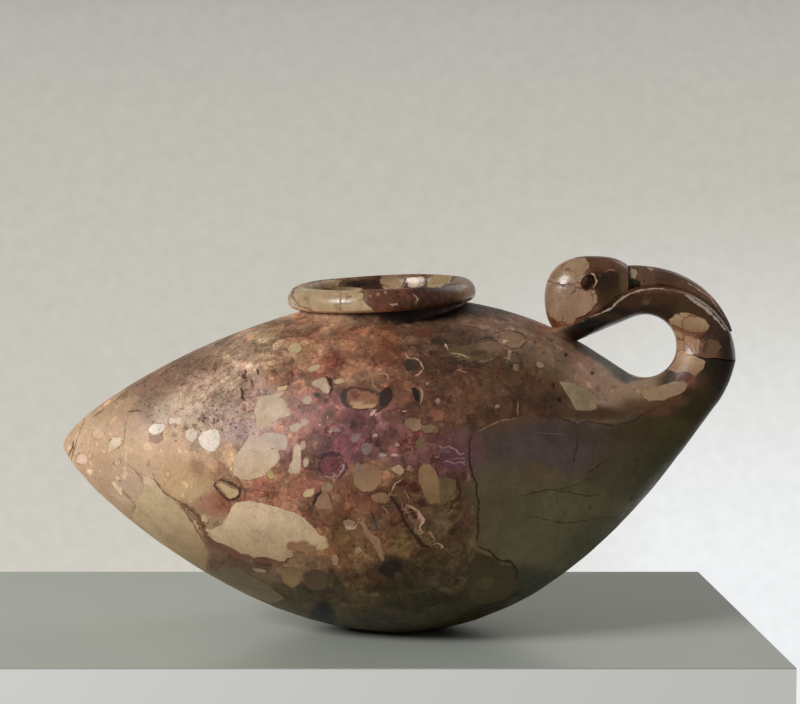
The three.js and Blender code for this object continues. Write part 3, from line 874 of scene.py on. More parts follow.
# %% Uneven skins
def points_of(made):
    """A mesh's points in mm and their normals."""
    points = np.empty(len(made.data.vertices) * 3, dtype=np.float32)
    normals = np.empty_like(points)
    made.data.vertices.foreach_get("co", points)
    made.data.vertex_normals.foreach_get("vector", normals)
    return points.reshape(-1, 3).astype(float) / MM, normals.reshape(-1, 3).astype(float)


UNEVENNESS = ((13, 4.0, 1.0), (4.5, 9.0, 0.4), (1.8, 15.0, 0.2))  # size in mm, shift, share
TABLE_TOUCH = 0.02  # mm above the table that still count as the flat


def weather(made, swell):
    """Moves points along their normals by three sizes of noise."""
    points, normals = points_of(made)
    unevenness = sum(share * noise(points, size, shift) for size, shift, share in UNEVENNESS)
    on_table = points[:, 2] < TABLE_TOUCH
    points += normals * (swell * unevenness * ~on_table)[:, None]
    points[:, 2] = np.maximum(points[:, 2], 0)
    made.data.vertices.foreach_set("co", (points * MM).astype(np.float32).ravel())
    made.data.update()


SWELLS = (0.16, 0.1, 0.1, 0.12, 0.12, 0.08)  # mm, for each of the pieces
for made, swell in zip(pieces, SWELLS):
    weather(made, swell)

# %% [markdown]
# ## The stone
#
# Breccia is rubble that nature cemented: pale limestone fragments, from grit to blocks as long as a
# thumb, lie in a red-brown iron-stained ground. Polishing cuts through them, so each shows as a flat
# patch with its own outline. The large ones are what the eye knows this vessel by, so they are listed
# here, in pixels of the photograph. Colours are as they look there, with its light on them.

# %% Soft zones of the ground on the body: x, y, reach across, reach up, colour
BODY_ZONES = [
    # The collar under the lip, paler at its left end; further right its near-black colours are painted
    # shade under the lip
    (298, 309, 10, 4, "c6a484"), (316, 317, 12, 3, "b89678"), (334, 322, 12, 3, "ac8c6e"),
    (350, 322, 10, 3, "82694f"), (368, 318, 12, 3, "5c4838"), (400, 317, 22, 3, "1c1511"),
    (425, 314, 16, 3, "241e1a"), (448, 308, 12, 3, "2a241e"), (462, 303, 8, 3, "40382e"),
    (84, 446, 16, 18, "cead8c"), (100, 450, 26, 20, "c8a886"), (95, 485, 16, 12, "ac8a70"),
    (130, 475, 20, 14, "bea084"), (150, 450, 28, 20, "c6a586"), (180, 450, 30, 20, "c4a483"),
    (205, 474, 26, 16, "b0916c"), (180, 478, 16, 12, "ba9b76"), (130, 430, 24, 14, "be9d80"),
    (128, 483, 12, 10, "b0947e"), (197, 468, 4, 6, "a07c60"), (224, 501, 10, 5, "97654e"),
    (98, 470, 10, 10, "b49678"), (88, 462, 7, 7, "bf9c80"), (218, 547, 12, 6, "624d3d"),
    (245, 568, 24, 5, "584637"), (300, 565, 12, 6, "745c46"), (235, 378, 14, 12, "c0a68f"),
    (290, 335, 12, 8, "94765a"), (308, 352, 12, 8, "876348"), (322, 328, 10, 6, "a08068"),
    (200, 390, 44, 24, "c8ae96"), (151, 405, 8, 12, "917c68"), (150, 388, 14, 9, "8e705b"),
    (118, 406, 16, 10, "b29677"), (159, 413, 4, 8, "bea68e"), (160, 380, 20, 8, "8c705a"),
    (195, 362, 24, 8, "806752"), (238, 345, 26, 8, "846a56"), (280, 327, 24, 8, "80644e"),
    (265, 340, 20, 8, "b49c7e"), (275, 352, 22, 9, "b2987c"), (235, 356, 24, 11, "b89e88"),
    (243, 432, 11, 8, "b0948e"), (232, 410, 18, 14, "aa8c75"), (225, 455, 14, 12, "ab8b70"),
    (300, 368, 24, 14, "936b52"), (313, 319, 12, 5, "b69579"), (320, 340, 24, 14, "987259"),
    (359, 352, 24, 17, "936c52"), (384, 349, 11, 10, "744835"), (333, 360, 7, 6, "663e32"),
    (345, 440, 30, 26, "6c4648"), (392, 437, 24, 20, "704c48"), (318, 415, 16, 14, "865b52"),
    (300, 438, 14, 20, "90685a"), (450, 455, 20, 15, "563e3c"), (368, 473, 13, 8, "7c5e46"),
    (250, 488, 15, 9, "8e6450"), (213, 503, 8, 6, "9a6e57"), (225, 482, 16, 9, "987b5f"),
    (282, 504, 20, 6, "8e6a54"), (285, 485, 16, 10, "8a624c"), (260, 563, 36, 7, "5e4737"),
    (353, 550, 19, 19, "70543a"), (369, 535, 11, 16, "765741"), (413, 546, 15, 11, "56442d"),
    (340, 500, 20, 14, "785440"), (320, 478, 14, 10, "7a5548"), (400, 500, 18, 18, "563f2e"),
    (460, 350, 46, 30, "564031"), (490, 390, 40, 28, "503c2d"), (466, 387, 11, 14, "543b2d"),
    (430, 345, 24, 17, "5c4738"), (400, 385, 20, 18, "664737"), (430, 415, 18, 12, "5c4032"),
    (520, 335, 28, 12, "745e4e"), (545, 365, 34, 24, "6a5646"), (520, 353, 14, 8, "54412f"),
    (520, 373, 22, 9, "433020"), (552, 402, 12, 8, "403026"), (600, 413, 18, 4, "402f22"),
    (640, 404, 14, 5, "543e2e"), (540, 385, 14, 7, "4e3a2a"), (510, 395, 20, 10, "45342a"),
    (610, 385, 26, 24, "7c6858"), (634, 392, 14, 8, "7e6a55"), (650, 409, 14, 4, "4e3628"),
    (672, 400, 10, 4, "503828"), (690, 379, 6, 5, "6a4234"), (590, 375, 14, 12, "7c6656"),
    # Painted shade: the dark row from (575, 335) to (629, 375) is the strip under the neck, in its shadow
    (575, 335, 6, 5, "2b271d"), (584, 341, 6, 5, "2b271d"), (593, 348, 6, 5, "2b271d"),
    (602, 355, 6, 5, "2b271d"), (611, 362, 6, 5, "2b271d"), (620, 369, 6, 5, "2b271d"),
    (629, 375, 6, 4, "2e291f"), (391, 566, 12, 7, "3c2d23"), (372, 575, 9, 6, "453424"),
    # (322, 612) is painted shadow on the belly where it nears the table
    (383, 586, 18, 7, "32291b"), (322, 612, 6, 6, "181614"), (235, 575, 40, 14, "5a4b3a"),
    (300, 600, 46, 10, "3c3425"), (420, 607, 56, 12, "282317"), (350, 585, 24, 13, "403726"),
    (440, 565, 22, 18, "423827"), (455, 530, 16, 24, "483a2a"), (437, 520, 16, 14, "4e3f2f"),
    (170, 530, 30, 22, "967e60"), (545, 452, 40, 16, "463a38"), (590, 436, 26, 7, "40362f"),
    (630, 434, 14, 6, "3a3122"), (540, 474, 12, 8, "4e4130"), (500, 500, 22, 34, "4a4230"),
    (560, 515, 44, 30, "4b4432"), (620, 460, 26, 26, "40382a"), (655, 430, 24, 14, "383120"),
    (690, 400, 24, 14, "2e281a"), (700, 382, 9, 8, "3e2e22"), (714, 376, 10, 12, "26221a"),
    (724, 366, 7, 14, "221a14"), (660, 475, 22, 26, "302e20"), (600, 540, 30, 18, "343224"),
    (520, 592, 28, 13, "2c2b21"),
]

# %% Fragments of the body, from below to above: name, colour (or the ground's own), corners
OLIVE_SIDE = [(470, 443), (470, 450), (471, 468), (477, 486), (479, 504), (478, 523), (477, 537)]
OLIVE_FOOT = [(478, 546), (488, 551), (495, 557), (502, 561), (510, 561), (516, 569)]
BODY_INLAYS = [
    ("olive block that fills the breast", None, [*OLIVE_SIDE, *OLIVE_FOOT, (518, 578), (522, 612),
     (600, 590), (680, 500), (740, 400), (712, 384), (700, 388), (691, 394), (672, 402), (653, 411),
     (640, 416), (634, 421), (622, 424), (615, 426), (592, 422), (576, 424), (564, 420), (557, 415),
     (525, 417), (517, 417), (503, 419), (492, 425), (480, 430), (473, 435)]),
    ("block under the olive one", "342c1e", [(478, 552), (486, 556), (494, 561), (503, 566), (510, 567),
     (514, 574), (514, 590), (505, 600), (480, 606), (470, 598), (466, 584), (470, 566)]),
    ("big tan block of the tail", "c0a783 to 7a6348", [(131, 516), (136, 501), (142, 491), (147, 478),
     (154, 479), (162, 491), (175, 501), (182, 511), (193, 522), (198, 532), (204, 542), (209, 550),
     (205, 575), (190, 570), (170, 555), (150, 535)]),
    ("pink slab", "baa083 to b39877", [(254, 410), (257, 400), (260, 396), (264, 395), (273, 395),
     (283, 399), (286, 404), (291, 413), (287, 416), (278, 420), (269, 425), (262, 430), (257, 429),
     (256, 422)]),
    ("pink clast below it", "bda592", [(262, 435), (264, 432), (271, 432), (280, 434), (287, 437),
     (288, 443), (286, 448), (280, 450), (275, 449), (268, 445), (263, 441)]),
    ("large pink clast", "c4ab96 to bfa484", [(246, 442), (249, 436), (261, 435), (264, 442), (270, 448),
     (278, 451), (279, 457), (276, 464), (269, 471), (262, 477), (250, 480), (240, 479), (233, 476),
     (233, 466), (234, 458), (240, 449)]),
    ("white clast", "e0d0be", [(198, 437), (203, 431), (210, 429), (219, 430), (221, 437), (220, 446),
     (214, 452), (207, 451), (200, 446)]),
    ("upright sliver", "bca48a", [(288, 473), (291, 461), (294, 447), (298, 443), (301, 448), (301, 457),
     (300, 473), (294, 474)]),
    ("short bar", "baa080", [(308, 369), (310, 366), (318, 364), (320, 367), (316, 370), (310, 372)]),
    ("white wedge", "b69c82", [(312, 384), (315, 380), (324, 378), (327, 380), (330, 387), (329, 394),
     (325, 392), (320, 388), (314, 386)]),
    ("tan chip above the pink slab", "bea57d", [(275, 389), (279, 386), (288, 385), (286, 389),
     (279, 392)]),
    ("dull chip", "b49a80", [(301, 401), (304, 397), (310, 396), (312, 400), (309, 406), (303, 404)]),
    ("round tan chip", "baa088", [(288, 427), (292, 424), (298, 422), (301, 425), (296, 431), (291, 432)]),
    ("brown chip", "b2967e", [(300, 419), (307, 418), (309, 423), (304, 427), (301, 426)]),
    ("dark hollow left of the amber", "40302a", [(341, 396), (343, 390), (347, 387), (350, 389), (348, 396),
     (349, 402), (352, 407), (346, 407), (342, 403)]),
    ("dark hollow right of the amber", "35271f", [(370, 390), (376, 391), (381, 392), (385, 388),
     (390, 386), (393, 393), (393, 398), (389, 403), (384, 408), (379, 405), (379, 398), (375, 396)]),
    ("amber", "865c44", [(348, 391), (354, 389), (363, 391), (372, 392), (378, 396), (379, 403), (370, 407),
     (361, 407), (351, 405), (348, 400)]),
    ("red of the amber", "6e3e2c", [(350, 392), (356, 391), (360, 394), (357, 399), (351, 399)]),
    ("foot of the amber", "ac8a64", [(350, 403), (357, 402), (368, 403), (378, 403), (372, 408), (360, 409),
     (353, 407)]),
    ("tail clast 1", "e1be9b", [(80, 428), (87, 430), (85, 437), (82, 435)]),
    ("tail clast 2", "dcc4a8", [(109, 444), (113, 437), (121, 438), (121, 444), (116, 449), (110, 449)]),
    ("brown shade under the white bit", "a5856e", [(149, 433), (156, 434), (163, 434), (163, 440),
     (156, 442), (150, 440)]),
    ("white bit", "ecdbcb", [(149, 428), (155, 423), (163, 423), (167, 427), (163, 432), (156, 434),
     (151, 433)]),
    ("white and pink bit", "d6c0aa", [(186, 431), (192, 427), (196, 431), (196, 438), (191, 442),
     (186, 438)]),
    ("point of the tan block", "ccb193", [(143, 477), (149, 476), (156, 482), (156, 487), (149, 487),
     (144, 484)]),
    ("oval tail clast", "d2b996", [(111, 483), (115, 482), (121, 487), (124, 492), (121, 497), (116, 491)]),
    ("light bit in the red band", "b29a78", [(199, 516), (204, 514), (208, 518), (207, 523), (201, 522)]),
    ("wedge", "bea27a", [(216, 484), (221, 483), (230, 487), (239, 491), (238, 494), (233, 499), (230, 498),
     (224, 492)]),
    ("large cream slab", "c6ad8d to 9c8566", [(204, 529), (212, 529), (222, 524), (228, 514), (233, 504),
     (241, 501), (251, 501), (264, 504), (278, 508), (290, 511), (297, 513), (304, 518), (313, 528),
     (320, 535), (326, 540), (328, 546), (326, 549), (316, 551), (305, 548), (296, 546), (290, 552),
     (286, 561), (279, 561), (268, 558), (253, 557), (242, 554), (233, 549), (222, 544), (213, 540),
     (207, 535)]),
    ("brown blotch in the slab", "7e5e46", [(286, 545), (292, 541), (303, 541), (314, 545), (319, 551),
     (308, 553), (297, 551), (290, 553)]),
    ("cream clast right of the slab", "b29a77", [(301, 495), (307, 490), (314, 489), (315, 494), (309, 498),
     (303, 498)]),
    ("tooth", "8a6850", [(314, 505), (318, 497), (321, 493), (327, 493), (331, 499), (333, 509), (328, 510),
     (320, 509)]),
    ("yellow clasts", "9c7c5d", [(319, 488), (323, 484), (330, 483), (334, 487), (330, 491), (323, 491)]),
    ("khaki block", "7c5f48 to 8a6c50", [(352, 470), (358, 464), (368, 463), (378, 466), (383, 474),
     (381, 484), (374, 491), (362, 492), (354, 485)]),
    ("khaki block below", "7c5e44", [(370, 496), (378, 493), (389, 494), (392, 499), (384, 503),
     (374, 502)]),
    ("round white clast", "a28a6a", [(344, 525), (348, 520), (354, 521), (357, 526), (353, 531),
     (346, 530)]),
    ("low chip", "8c7356", [(355, 549), (359, 547), (363, 550), (361, 554), (356, 554)]),
    ("low white chip", "8a7154", [(332, 557), (336, 554), (339, 559), (337, 565), (333, 563)]),
    ("cream bit", "987e61", [(391, 469), (398, 464), (403, 468), (404, 474), (398, 475), (393, 472)]),
    ("pinkish bit", "725446", [(408, 467), (412, 465), (415, 469), (412, 473), (408, 471)]),
    ("right khaki lobe", "5c4a34", [(436, 480), (446, 477), (456, 479), (458, 486), (453, 496), (446, 504),
     (438, 506), (434, 496)]),
    ("left khaki lobe", "826448 to 6e583e", [(418, 480), (419, 469), (423, 464), (430, 464), (436, 472),
     (438, 482), (440, 494), (438, 503), (430, 504), (425, 496), (421, 488)]),
    ("rough flesh of the hollow", "6a4c3a", [(403, 505), (408, 503), (414, 506), (421, 511), (425, 518),
     (424, 525), (419, 527), (413, 524), (408, 518), (404, 511)]),
    ("pale side of the hollow", "b8927a", [(417, 512), (421, 514.5), (424, 519), (422, 524), (418, 526),
     (420, 521), (419, 516)]),
    ("dark floor of the hollow", "22140e", [(408, 508), (413, 510), (417, 515), (418, 520), (413, 519),
     (409, 514)]),
    ("dark red patch", "3e261c", [(411, 482), (416, 481), (420, 486), (418, 491), (412, 490)]),
    ("second dark red patch", "4a2a21", [(398, 479), (404, 478), (408, 482), (404, 487), (398, 485)]),
    ("olive clast at the bottom", "705b40", [(281, 570), (285, 568), (297, 568), (303, 571), (302, 580),
     (298, 586), (292, 588), (284, 583), (281, 576)]),
    ("sliver under the slab", "7e6c56", [(252, 569), (258, 568), (268, 570), (266, 573), (256, 572)]),
    ("dark gritty patch", "46382a", [(304, 573), (314, 570), (326, 573), (329, 581), (324, 590), (312, 591),
     (305, 585)]),
    ("large olive clast at the bottom", "584c3a", [(214, 572), (224, 568), (239, 567), (248, 574),
     (257, 578), (268, 584), (275, 591), (285, 599), (265, 606), (230, 594), (205, 580)]),
    ("upper hollow", "3c3228", [(405, 362), (409, 360), (415, 361), (418, 365), (417, 369), (412, 371),
     (407, 371), (405, 367)]),
    ("lower hollow", "2a211b", [(411, 389), (415, 387), (418, 391), (419, 398), (418, 403), (415, 400),
     (412, 395)]),
    ("olive lens of the shoulder", "55442f", [(447, 349), (457, 346), (468, 344), (478, 340), (487, 338),
     (495, 342), (499, 350), (492, 358), (480, 361), (468, 361), (458, 358), (450, 354)]),
    ("red of the lens", "644636", [(477, 345), (486, 342), (495, 344), (499, 349), (490, 352), (480, 349)]),
    ("dark top of the lens", "3a2c22", [(432, 340), (440, 337), (447, 340), (448, 346), (440, 347),
     (433, 344)]),
    ("crumbled purple", "563a3e", [(441, 449), (452, 446), (463, 449), (469, 456), (468, 466), (459, 471),
     (447, 466), (440, 458)]),
    ("crumbled tan seam", "866650 to 7a5e46", [(362, 518), (367, 526), (372, 534), (378, 538), (382, 548),
     (384, 560), (381, 561), (376, 549), (370, 541), (364, 531), (360, 523)]),
    ("burnt-looking hollow", "261e18", [(381, 565), (388, 561), (396, 560), (403, 564), (401, 570),
     (396, 573), (393, 579), (386, 577), (382, 573), (378, 569)]),
    ("brown foot of it", "3e2c1d", [(364, 572), (370, 569), (378, 570), (381, 576), (387, 580), (378, 582),
     (370, 579)]),
    ("dark streak at the bottom", "2c2419", [(372, 588), (384, 585), (398, 586), (402, 589), (388, 591),
     (376, 591)]),
    ("brown clast", "8a6c56", [(410, 423), (414, 419), (420, 420), (422, 426), (419, 432), (412, 431)]),
    ("khaki clast beside it", "6e553e", [(424, 428), (429, 424), (437, 425), (439, 430), (434, 434),
     (426, 434)]),
    ("dark clast below them", "6e543f", [(415, 441), (419, 437), (424, 439), (424, 446), (419, 449),
     (415, 446)]),
    ("knobbly clast", "7c604b", [(499, 339), (502, 334), (510, 333), (520, 336), (528, 339), (526, 344),
     (518, 346), (508, 346), (502, 344)]),
    ("knob", "5e493a", [(512, 366), (515, 363), (520, 364), (521, 369), (518, 373), (513, 371)]),
    ("grey chip in the purple", "7e6a62", [(350, 438), (353, 434), (361, 433), (358, 440), (354, 443)]),
    ("cream block behind the loop", "907c62 to 8a765c", [(559, 382), (573, 382), (583, 387), (593, 394),
     (597, 399), (597, 411), (588, 411), (576, 410), (571, 401), (566, 392), (562, 387)]),
    ("cream clast below the mend", "b0906e to 8c6c52", [(670, 352), (680, 350), (692, 353), (700, 358),
     (706, 362), (704, 370), (695, 376), (684, 371), (676, 372), (668, 370), (664, 364)]),
    ("streak under the loop", "8b7057", [(640, 391), (652, 388), (660, 385), (672, 381), (682, 381),
     (688, 384), (686, 390), (679, 394), (666, 399), (653, 401), (644, 399)]),
]

# %% Pebbles, spots and holes of the body: x, y, half width, half height, colour
BODY_PEBBLES = [
    (295, 348, 7, 5.5, "b29e78"), (306, 463, 3, 6, "ac8f79"), (339, 381, 5, 2.5, "ae9473"),
    (98, 435, 6, 5, "dcb996"), (126, 448, 2, 2, "dec4a8"), (117, 462, 3, 3, "d2b496"),
    (82, 459, 5, 5, "e1bea5"), (171, 421, 3, 4, "e0c8b2"), (178, 421, 3, 4, "dcc4ae"),
    (271, 475, 4, 4, "af965f"), (374, 595, 5, 3, "4e4733"), (446, 590, 7, 3, "423b29"),
    (383, 455, 4, 2, "a58e80"), (375, 435, 1.8, 1.8, "af968a"), (290, 554, 4, 4, "988063"),
    (485, 583, 8, 6, "3e3724"), (489, 347, 12, 6, "705440"), (203, 527, 2, 2, "3c2a20"),
    (326, 532, 1.8, 4, "a08266"), (332.6, 466.5, 12, 11, "6a3f3e"), (332.6, 466.3, 1.6, 1.6, "3c181c"),
    (317.5, 394.5, 5, 3, "42382e"), (326, 400, 3, 2.4, "5a3834"), (327, 417, 1.6, 1.6, "d2bab0"),
    (320, 425, 1.5, 1.3, "ccb2a8"), (329, 433, 1.6, 2, "c8aca2"), (324, 444.5, 1.8, 1.4, "d8bcb2"),
    (355, 381, 3.6, 1.6, "9e8065"), (631, 499, 2, 2, "322c21"), (590, 508, 2, 2, "30281e"),
    (554, 385, 1.4, 3.5, "1e1612"), (559, 399, 2.2, 2.2, "1e1612"), (592, 373, 1.8, 1.8, "281c18"),
    # The spot at (322, 612) is painted shadow on the belly where it nears the table
    (566, 355, 1.5, 1.5, "221a16"), (322, 612, 4, 6, "141312"), (490, 346, 9, 5, "6e5540"),
    (512, 337, 12, 7, "70543e"), (504, 341, 2.2, 1.6, "b8a488"), (478, 353, 8, 2.4, "463a2c"),
    (436, 341, 5, 2.4, "342a20"), (454, 363, 5, 3, "382c22"), (516, 368, 3, 3, "7a5c48"),
    (512, 366.5, 1.2, 1.4, "1e1612"), (540, 364, 4, 3, "7a5e4c"), (427, 384, 2, 1.6, "7a6c60"),
    (438, 401, 2, 3, "8a7264"), (497, 406, 2.6, 2, "7c6a54"), (430, 347, 8, 3, "5a4636"),
    (423, 333, 9, 5, "5c3a2c"), (462, 372, 10, 2.4, "55382a"), (375, 436, 2.4, 2.2, "9c847c"),
    (366, 449, 6, 6, "76605c"), (377, 443, 2.6, 4, "4a2838"), (382, 451, 3, 1.6, "44303e"),
    (374, 457, 4, 2.4, "5a4444"), (357, 467, 3.5, 5, "7a665a"), (404, 412, 1.8, 1.4, "c8a898"),
    (372, 414, 2.5, 2.5, "a8867a"), (367, 426, 1.6, 1.4, "c8a8a2"), (350, 425, 1.3, 1.2, "c09890"),
    (397, 445, 3, 2.4, "96706a"), (406, 441, 2, 1.8, "58303a"), (428, 429, 7, 4, "745e46"),
    (411, 423, 7, 5, "7e644e"), (421, 443, 5, 6, "6c5642"), (402, 483, 5, 3.5, "482420"),
    (414, 487, 4, 5, "4a2622"), (422, 503, 5, 4, "3c2820"), (464, 476, 3, 5, "4a2c26"),
    (409, 468, 2.6, 3.4, "8c6a5c"), (348, 523, 6, 4, "7e6852"), (327, 487, 7, 4, "866c54"),
    (306, 463, 3, 5, "b09a80"), (303, 445, 3, 5, "a88c74"), (335, 430, 8, 2.6, "94706a"),
    (444, 450, 6, 2.4, "64504e"), (436, 457, 3, 2, "9c6c5e"), (377, 525, 5, 4, "5c4c3e"),
    (393, 455, 4, 1.3, "bc9a90"), (240, 437, 2.5, 1.8, "80665a"), (202, 419, 2.5, 1.8, "8a705c"),
]

# %% Cracks, veins and light seams of the body: name, colour, half width, points
BODY_LINES = [
    ("chip at the tail", "543a2a", 0.9, [(74, 440), (70, 451), (69, 457)]),
    ("tail streak", "6e4e3a", 0.9, [(127, 411), (134, 410), (142, 411)]),
    ("dark tail hair", "94806a", 0.6, [(129, 411), (127, 420), (124.5, 430), (124, 446)]),
    ("tail vein", "967056", 1, [(121, 490), (129, 498), (135, 506), (133, 515)]),
    ("tail vein 2", "a07a5e", 1, [(126, 463), (135, 470), (142, 477), (144, 484)]),
    ("edge of the tan block", "805c48", 1.1, [(154, 478), (158, 484), (162, 490), (168, 495), (179, 502)]),
    ("red band", "644234", 2.6, [(177, 500), (183, 505), (191, 509), (196, 515), (200, 522), (203, 529),
     (207, 537), (213, 545), (225, 550), (239, 555), (260, 560), (276, 564)]),
    ("seam of the tan block", "785642", 1.1, [(179, 502), (188, 516), (195, 528), (204, 542), (209, 552),
     (206, 570)]),
    ("red vein right of the slab", "704836", 1.7, [(301, 511), (309, 518), (316, 525), (326, 532),
     (331, 542), (337, 554)]),
    ("slit", "3c2a22", 1.8, [(242.5, 378), (244.5, 374), (247.5, 369.5)]),
    ("slit 2", "46342a", 1.3, [(257, 368), (258, 372), (259.5, 376)]),
    ("slit 3", "503c30", 1.2, [(251.5, 379), (252.5, 383), (254, 387)]),
    ("slit 4", "46302a", 1.9, [(240.5, 388), (242.5, 393), (243, 397), (244, 401)]),
    ("slit 5", "6a5242", 1.0, [(214, 419), (214.8, 422), (214, 425)]),
    ("arc in the rough patch", "6e5848", 0.9, [(206, 418), (202.5, 419.5), (202.5, 422), (205.5, 423)]),
    ("dark edge on top of the tail", "74614e", 2.0, [(92, 417), (103, 408), (115, 399), (128, 391),
     (142, 382), (156, 375), (170, 368)]),
    ("edge of the olive block", "2c2219", 1.2, [(472, 433), *OLIVE_SIDE, OLIVE_FOOT[0]]),
    ("foot of the olive block", "2c1e16", 1.5, [*OLIVE_FOOT, (518, 580)]),
    ("red crack", "3c2419", 1.9, [(457.5, 475), (459, 484), (461.5, 492), (459, 499), (452, 502),
     (451, 510), (446, 513)]),
    ("crack in the breast", "32261c", 0.9, [(578, 438), (576, 450), (573, 464)]),
    ("crack in the breast 2", "32261c", 0.9, [(606, 461), (598, 466), (588, 473)]),
    ("hair crack", "342a1e", 0.7, [(518, 497), (533, 493), (549, 490), (564, 488), (578, 484), (594, 476)]),
    ("hair crack 2", "342a1e", 0.7, [(553, 491), (570, 493), (587, 496), (603, 493)]),
    ("hair crack 3", "342a1e", 0.7, [(526, 516), (549, 520), (567, 523), (587, 520), (616, 516)]),
    ("groove", "2a1c14", 2.0, [(386, 491), (391, 497), (396, 504), (400, 512), (404, 521), (410, 530),
     (416, 538), (423, 545), (432, 549)]),
    ("groove 2", "462c1e", 1.2, [(372, 512), (376, 523), (380, 532)]),
    ("side of the tooth", "2c1812", 1.5, [(322, 491.5), (319, 494), (316, 499), (313, 505)]),
    ("other side of the tooth", "5a3e2e", 0.7, [(326, 492), (330, 496), (333, 503), (333, 511)]),
    # Painted shadow along the right side of the cavity by the white wedge
    ("painted shadow of the cavity by the wedge", "30201c", 2, [(326, 377), (331, 380), (333, 386), (331, 392)]),
    ("bright top of the olive block", "80644c", 0.7, [(478, 431), (489, 426), (501, 420), (517, 418)]),
    ("fork of it", "7e644e", 0.7, [(517, 418), (517, 410), (518, 401)]),
    ("light rim of the upper hollow", "a88a72", 0.9, [(405.5, 353), (408, 358), (414, 358.5), (420, 361),
     (423.5, 368), (419, 373), (412, 377)]),
    ("light rim of the lower hollow", "a48a74", 0.9, [(418.5, 386), (421.5, 393), (421.5, 399),
     (419.5, 405)]),
    ("light dash", "b49c82", 0.9, [(445.5, 344), (447, 347), (449, 350)]),
    ("light dash 2", "9c846a", 0.8, [(451, 352), (460, 354), (470, 358.5)]),
    ("olive arc", "6a5a42", 1, [(474, 362), (482, 361.5), (492, 359), (500, 350)]),
    ("light dash 3", "78604c", 0.7, [(456, 370), (463, 371), (468, 373)]),
    ("light dash 4", "826a56", 0.7, [(507, 352), (509, 356), (511, 361)]),
    ("light edge by the groove", "a88a6c", 0.8, [(391, 492), (393.5, 487.5), (396.5, 482.5), (402, 479.5)]),
    ("bright ridge", "c49c80", 1.1, [(406.5, 505), (411, 507.5), (417, 510.5), (421.5, 515), (424, 520),
     (422, 523), (419, 527), (423, 532.5)]),
    ("light hair by the ridge", "937a60", 0.6, [(405, 490), (407, 495), (409.5, 499)]),
    ("orange ridge", "86644c", 0.8, [(426, 533), (430, 531), (434, 539), (436, 543)]),
    ("leaf of the ridge", "9a765a", 0.7, [(432, 545), (437, 543), (443, 546), (440, 549)]),
    ("light hair", "967c62", 0.6, [(382, 506), (385, 509), (389, 514)]),
    ("faint seam", "5c4e44", 0.6, [(537, 433), (552, 434), (567, 435)]),
    ("chip on the slab", "c8b08e", 0.8, [(289, 516), (293, 519), (295, 522), (296, 526)]),
    ("squiggle", "8a6a68", 0.7, [(438, 445), (443, 449), (449, 446), (455, 449), (460, 455), (466, 453)]),
    ("squiggle 2", "866664", 0.7, [(441, 463), (447, 460), (454, 464), (461, 461), (467, 466)]),
    ("line over the amber", "4a2c1e", 0.8, [(347, 391), (350, 388), (356, 387), (362, 389), (369, 390),
     (376, 394)]),
    ("line under the amber", "4a3024", 0.8, [(348, 404), (353, 408), (361, 410), (371, 409), (384, 408),
     (391, 400)]),
    ("dark line round the lens", "3a2e22", 0.8, [(452, 357), (458, 362), (468, 365), (482, 364), (492, 361),
     (502, 355)]),
    ("dark line over the lens", "3c2e24", 0.8, [(472, 345), (478, 341), (485, 338), (493, 338),
     (498, 341)]),
    ("rim of the upper right clast", "40322a", 0.8, [(498, 333), (506, 329.5), (516, 330.5), (524, 335),
     (527, 341), (521, 347), (512, 349), (503, 345)]),
    ("curl under it", "a88c74", 0.7, [(507, 350.5), (510.5, 352), (509.5, 355), (508, 358.5), (504, 359)]),
    ("chevron in the red", "8e7460", 0.6, [(456, 371), (459.5, 369), (462.5, 372)]),
    ("dark seam in the red", "3e2c22", 0.7, [(405, 344), (415, 346), (424, 349), (432, 344), (440, 341)]),
    ("edge of the shoulder", "382a20", 0.9, [(548, 415), (557, 415), (564, 420), (576, 424), (592, 422),
     (603, 424), (615, 426), (634, 421), (646, 414), (660, 407)]),
    ("light curl over the amber", "a08468", 0.8, [(375, 375), (384, 373), (388, 376), (388, 382)]),
    ("light curl beside it", "967a60", 0.8, [(372, 379), (373, 385), (376, 389), (380, 391)]),
    ("white loop under the amber", "c8a894", 0.8, [(369, 417), (372, 413), (375, 412), (376, 416)]),
    ("dark outline of the wedge", "3a2b23", 1.5, [(213, 484), (221, 480), (231, 483), (240, 489),
     (240, 495), (234, 500), (229, 500), (222, 494), (214, 485), (220, 480)]),
    ("top arc of the fossil", "3c2a30", 2.2, [(322, 461), (326, 455), (333, 453), (340, 455), (344, 458)]),
    ("left arc of the fossil", "46303a", 1.8, [(319, 462), (319, 470), (322, 475)]),
    ("right arc of the fossil", "3e2c34", 2.0, [(346, 462), (346, 469), (342, 476), (338, 480)]),
    ("light ring of the fossil", "b48e84", 0.7, [(344, 462), (342, 470), (337, 476), (330, 478),
     (323, 476)]),
    ("inner ring of the fossil", "54302f", 0.7, [(329, 462), (335, 461), (339, 465), (337, 471),
     (330, 472)]),
]

# %% The lip's stone
def dot(x, y, half=2):
    return [(x - half, y), (x, y - half), (x + half, y), (x, y + half)]


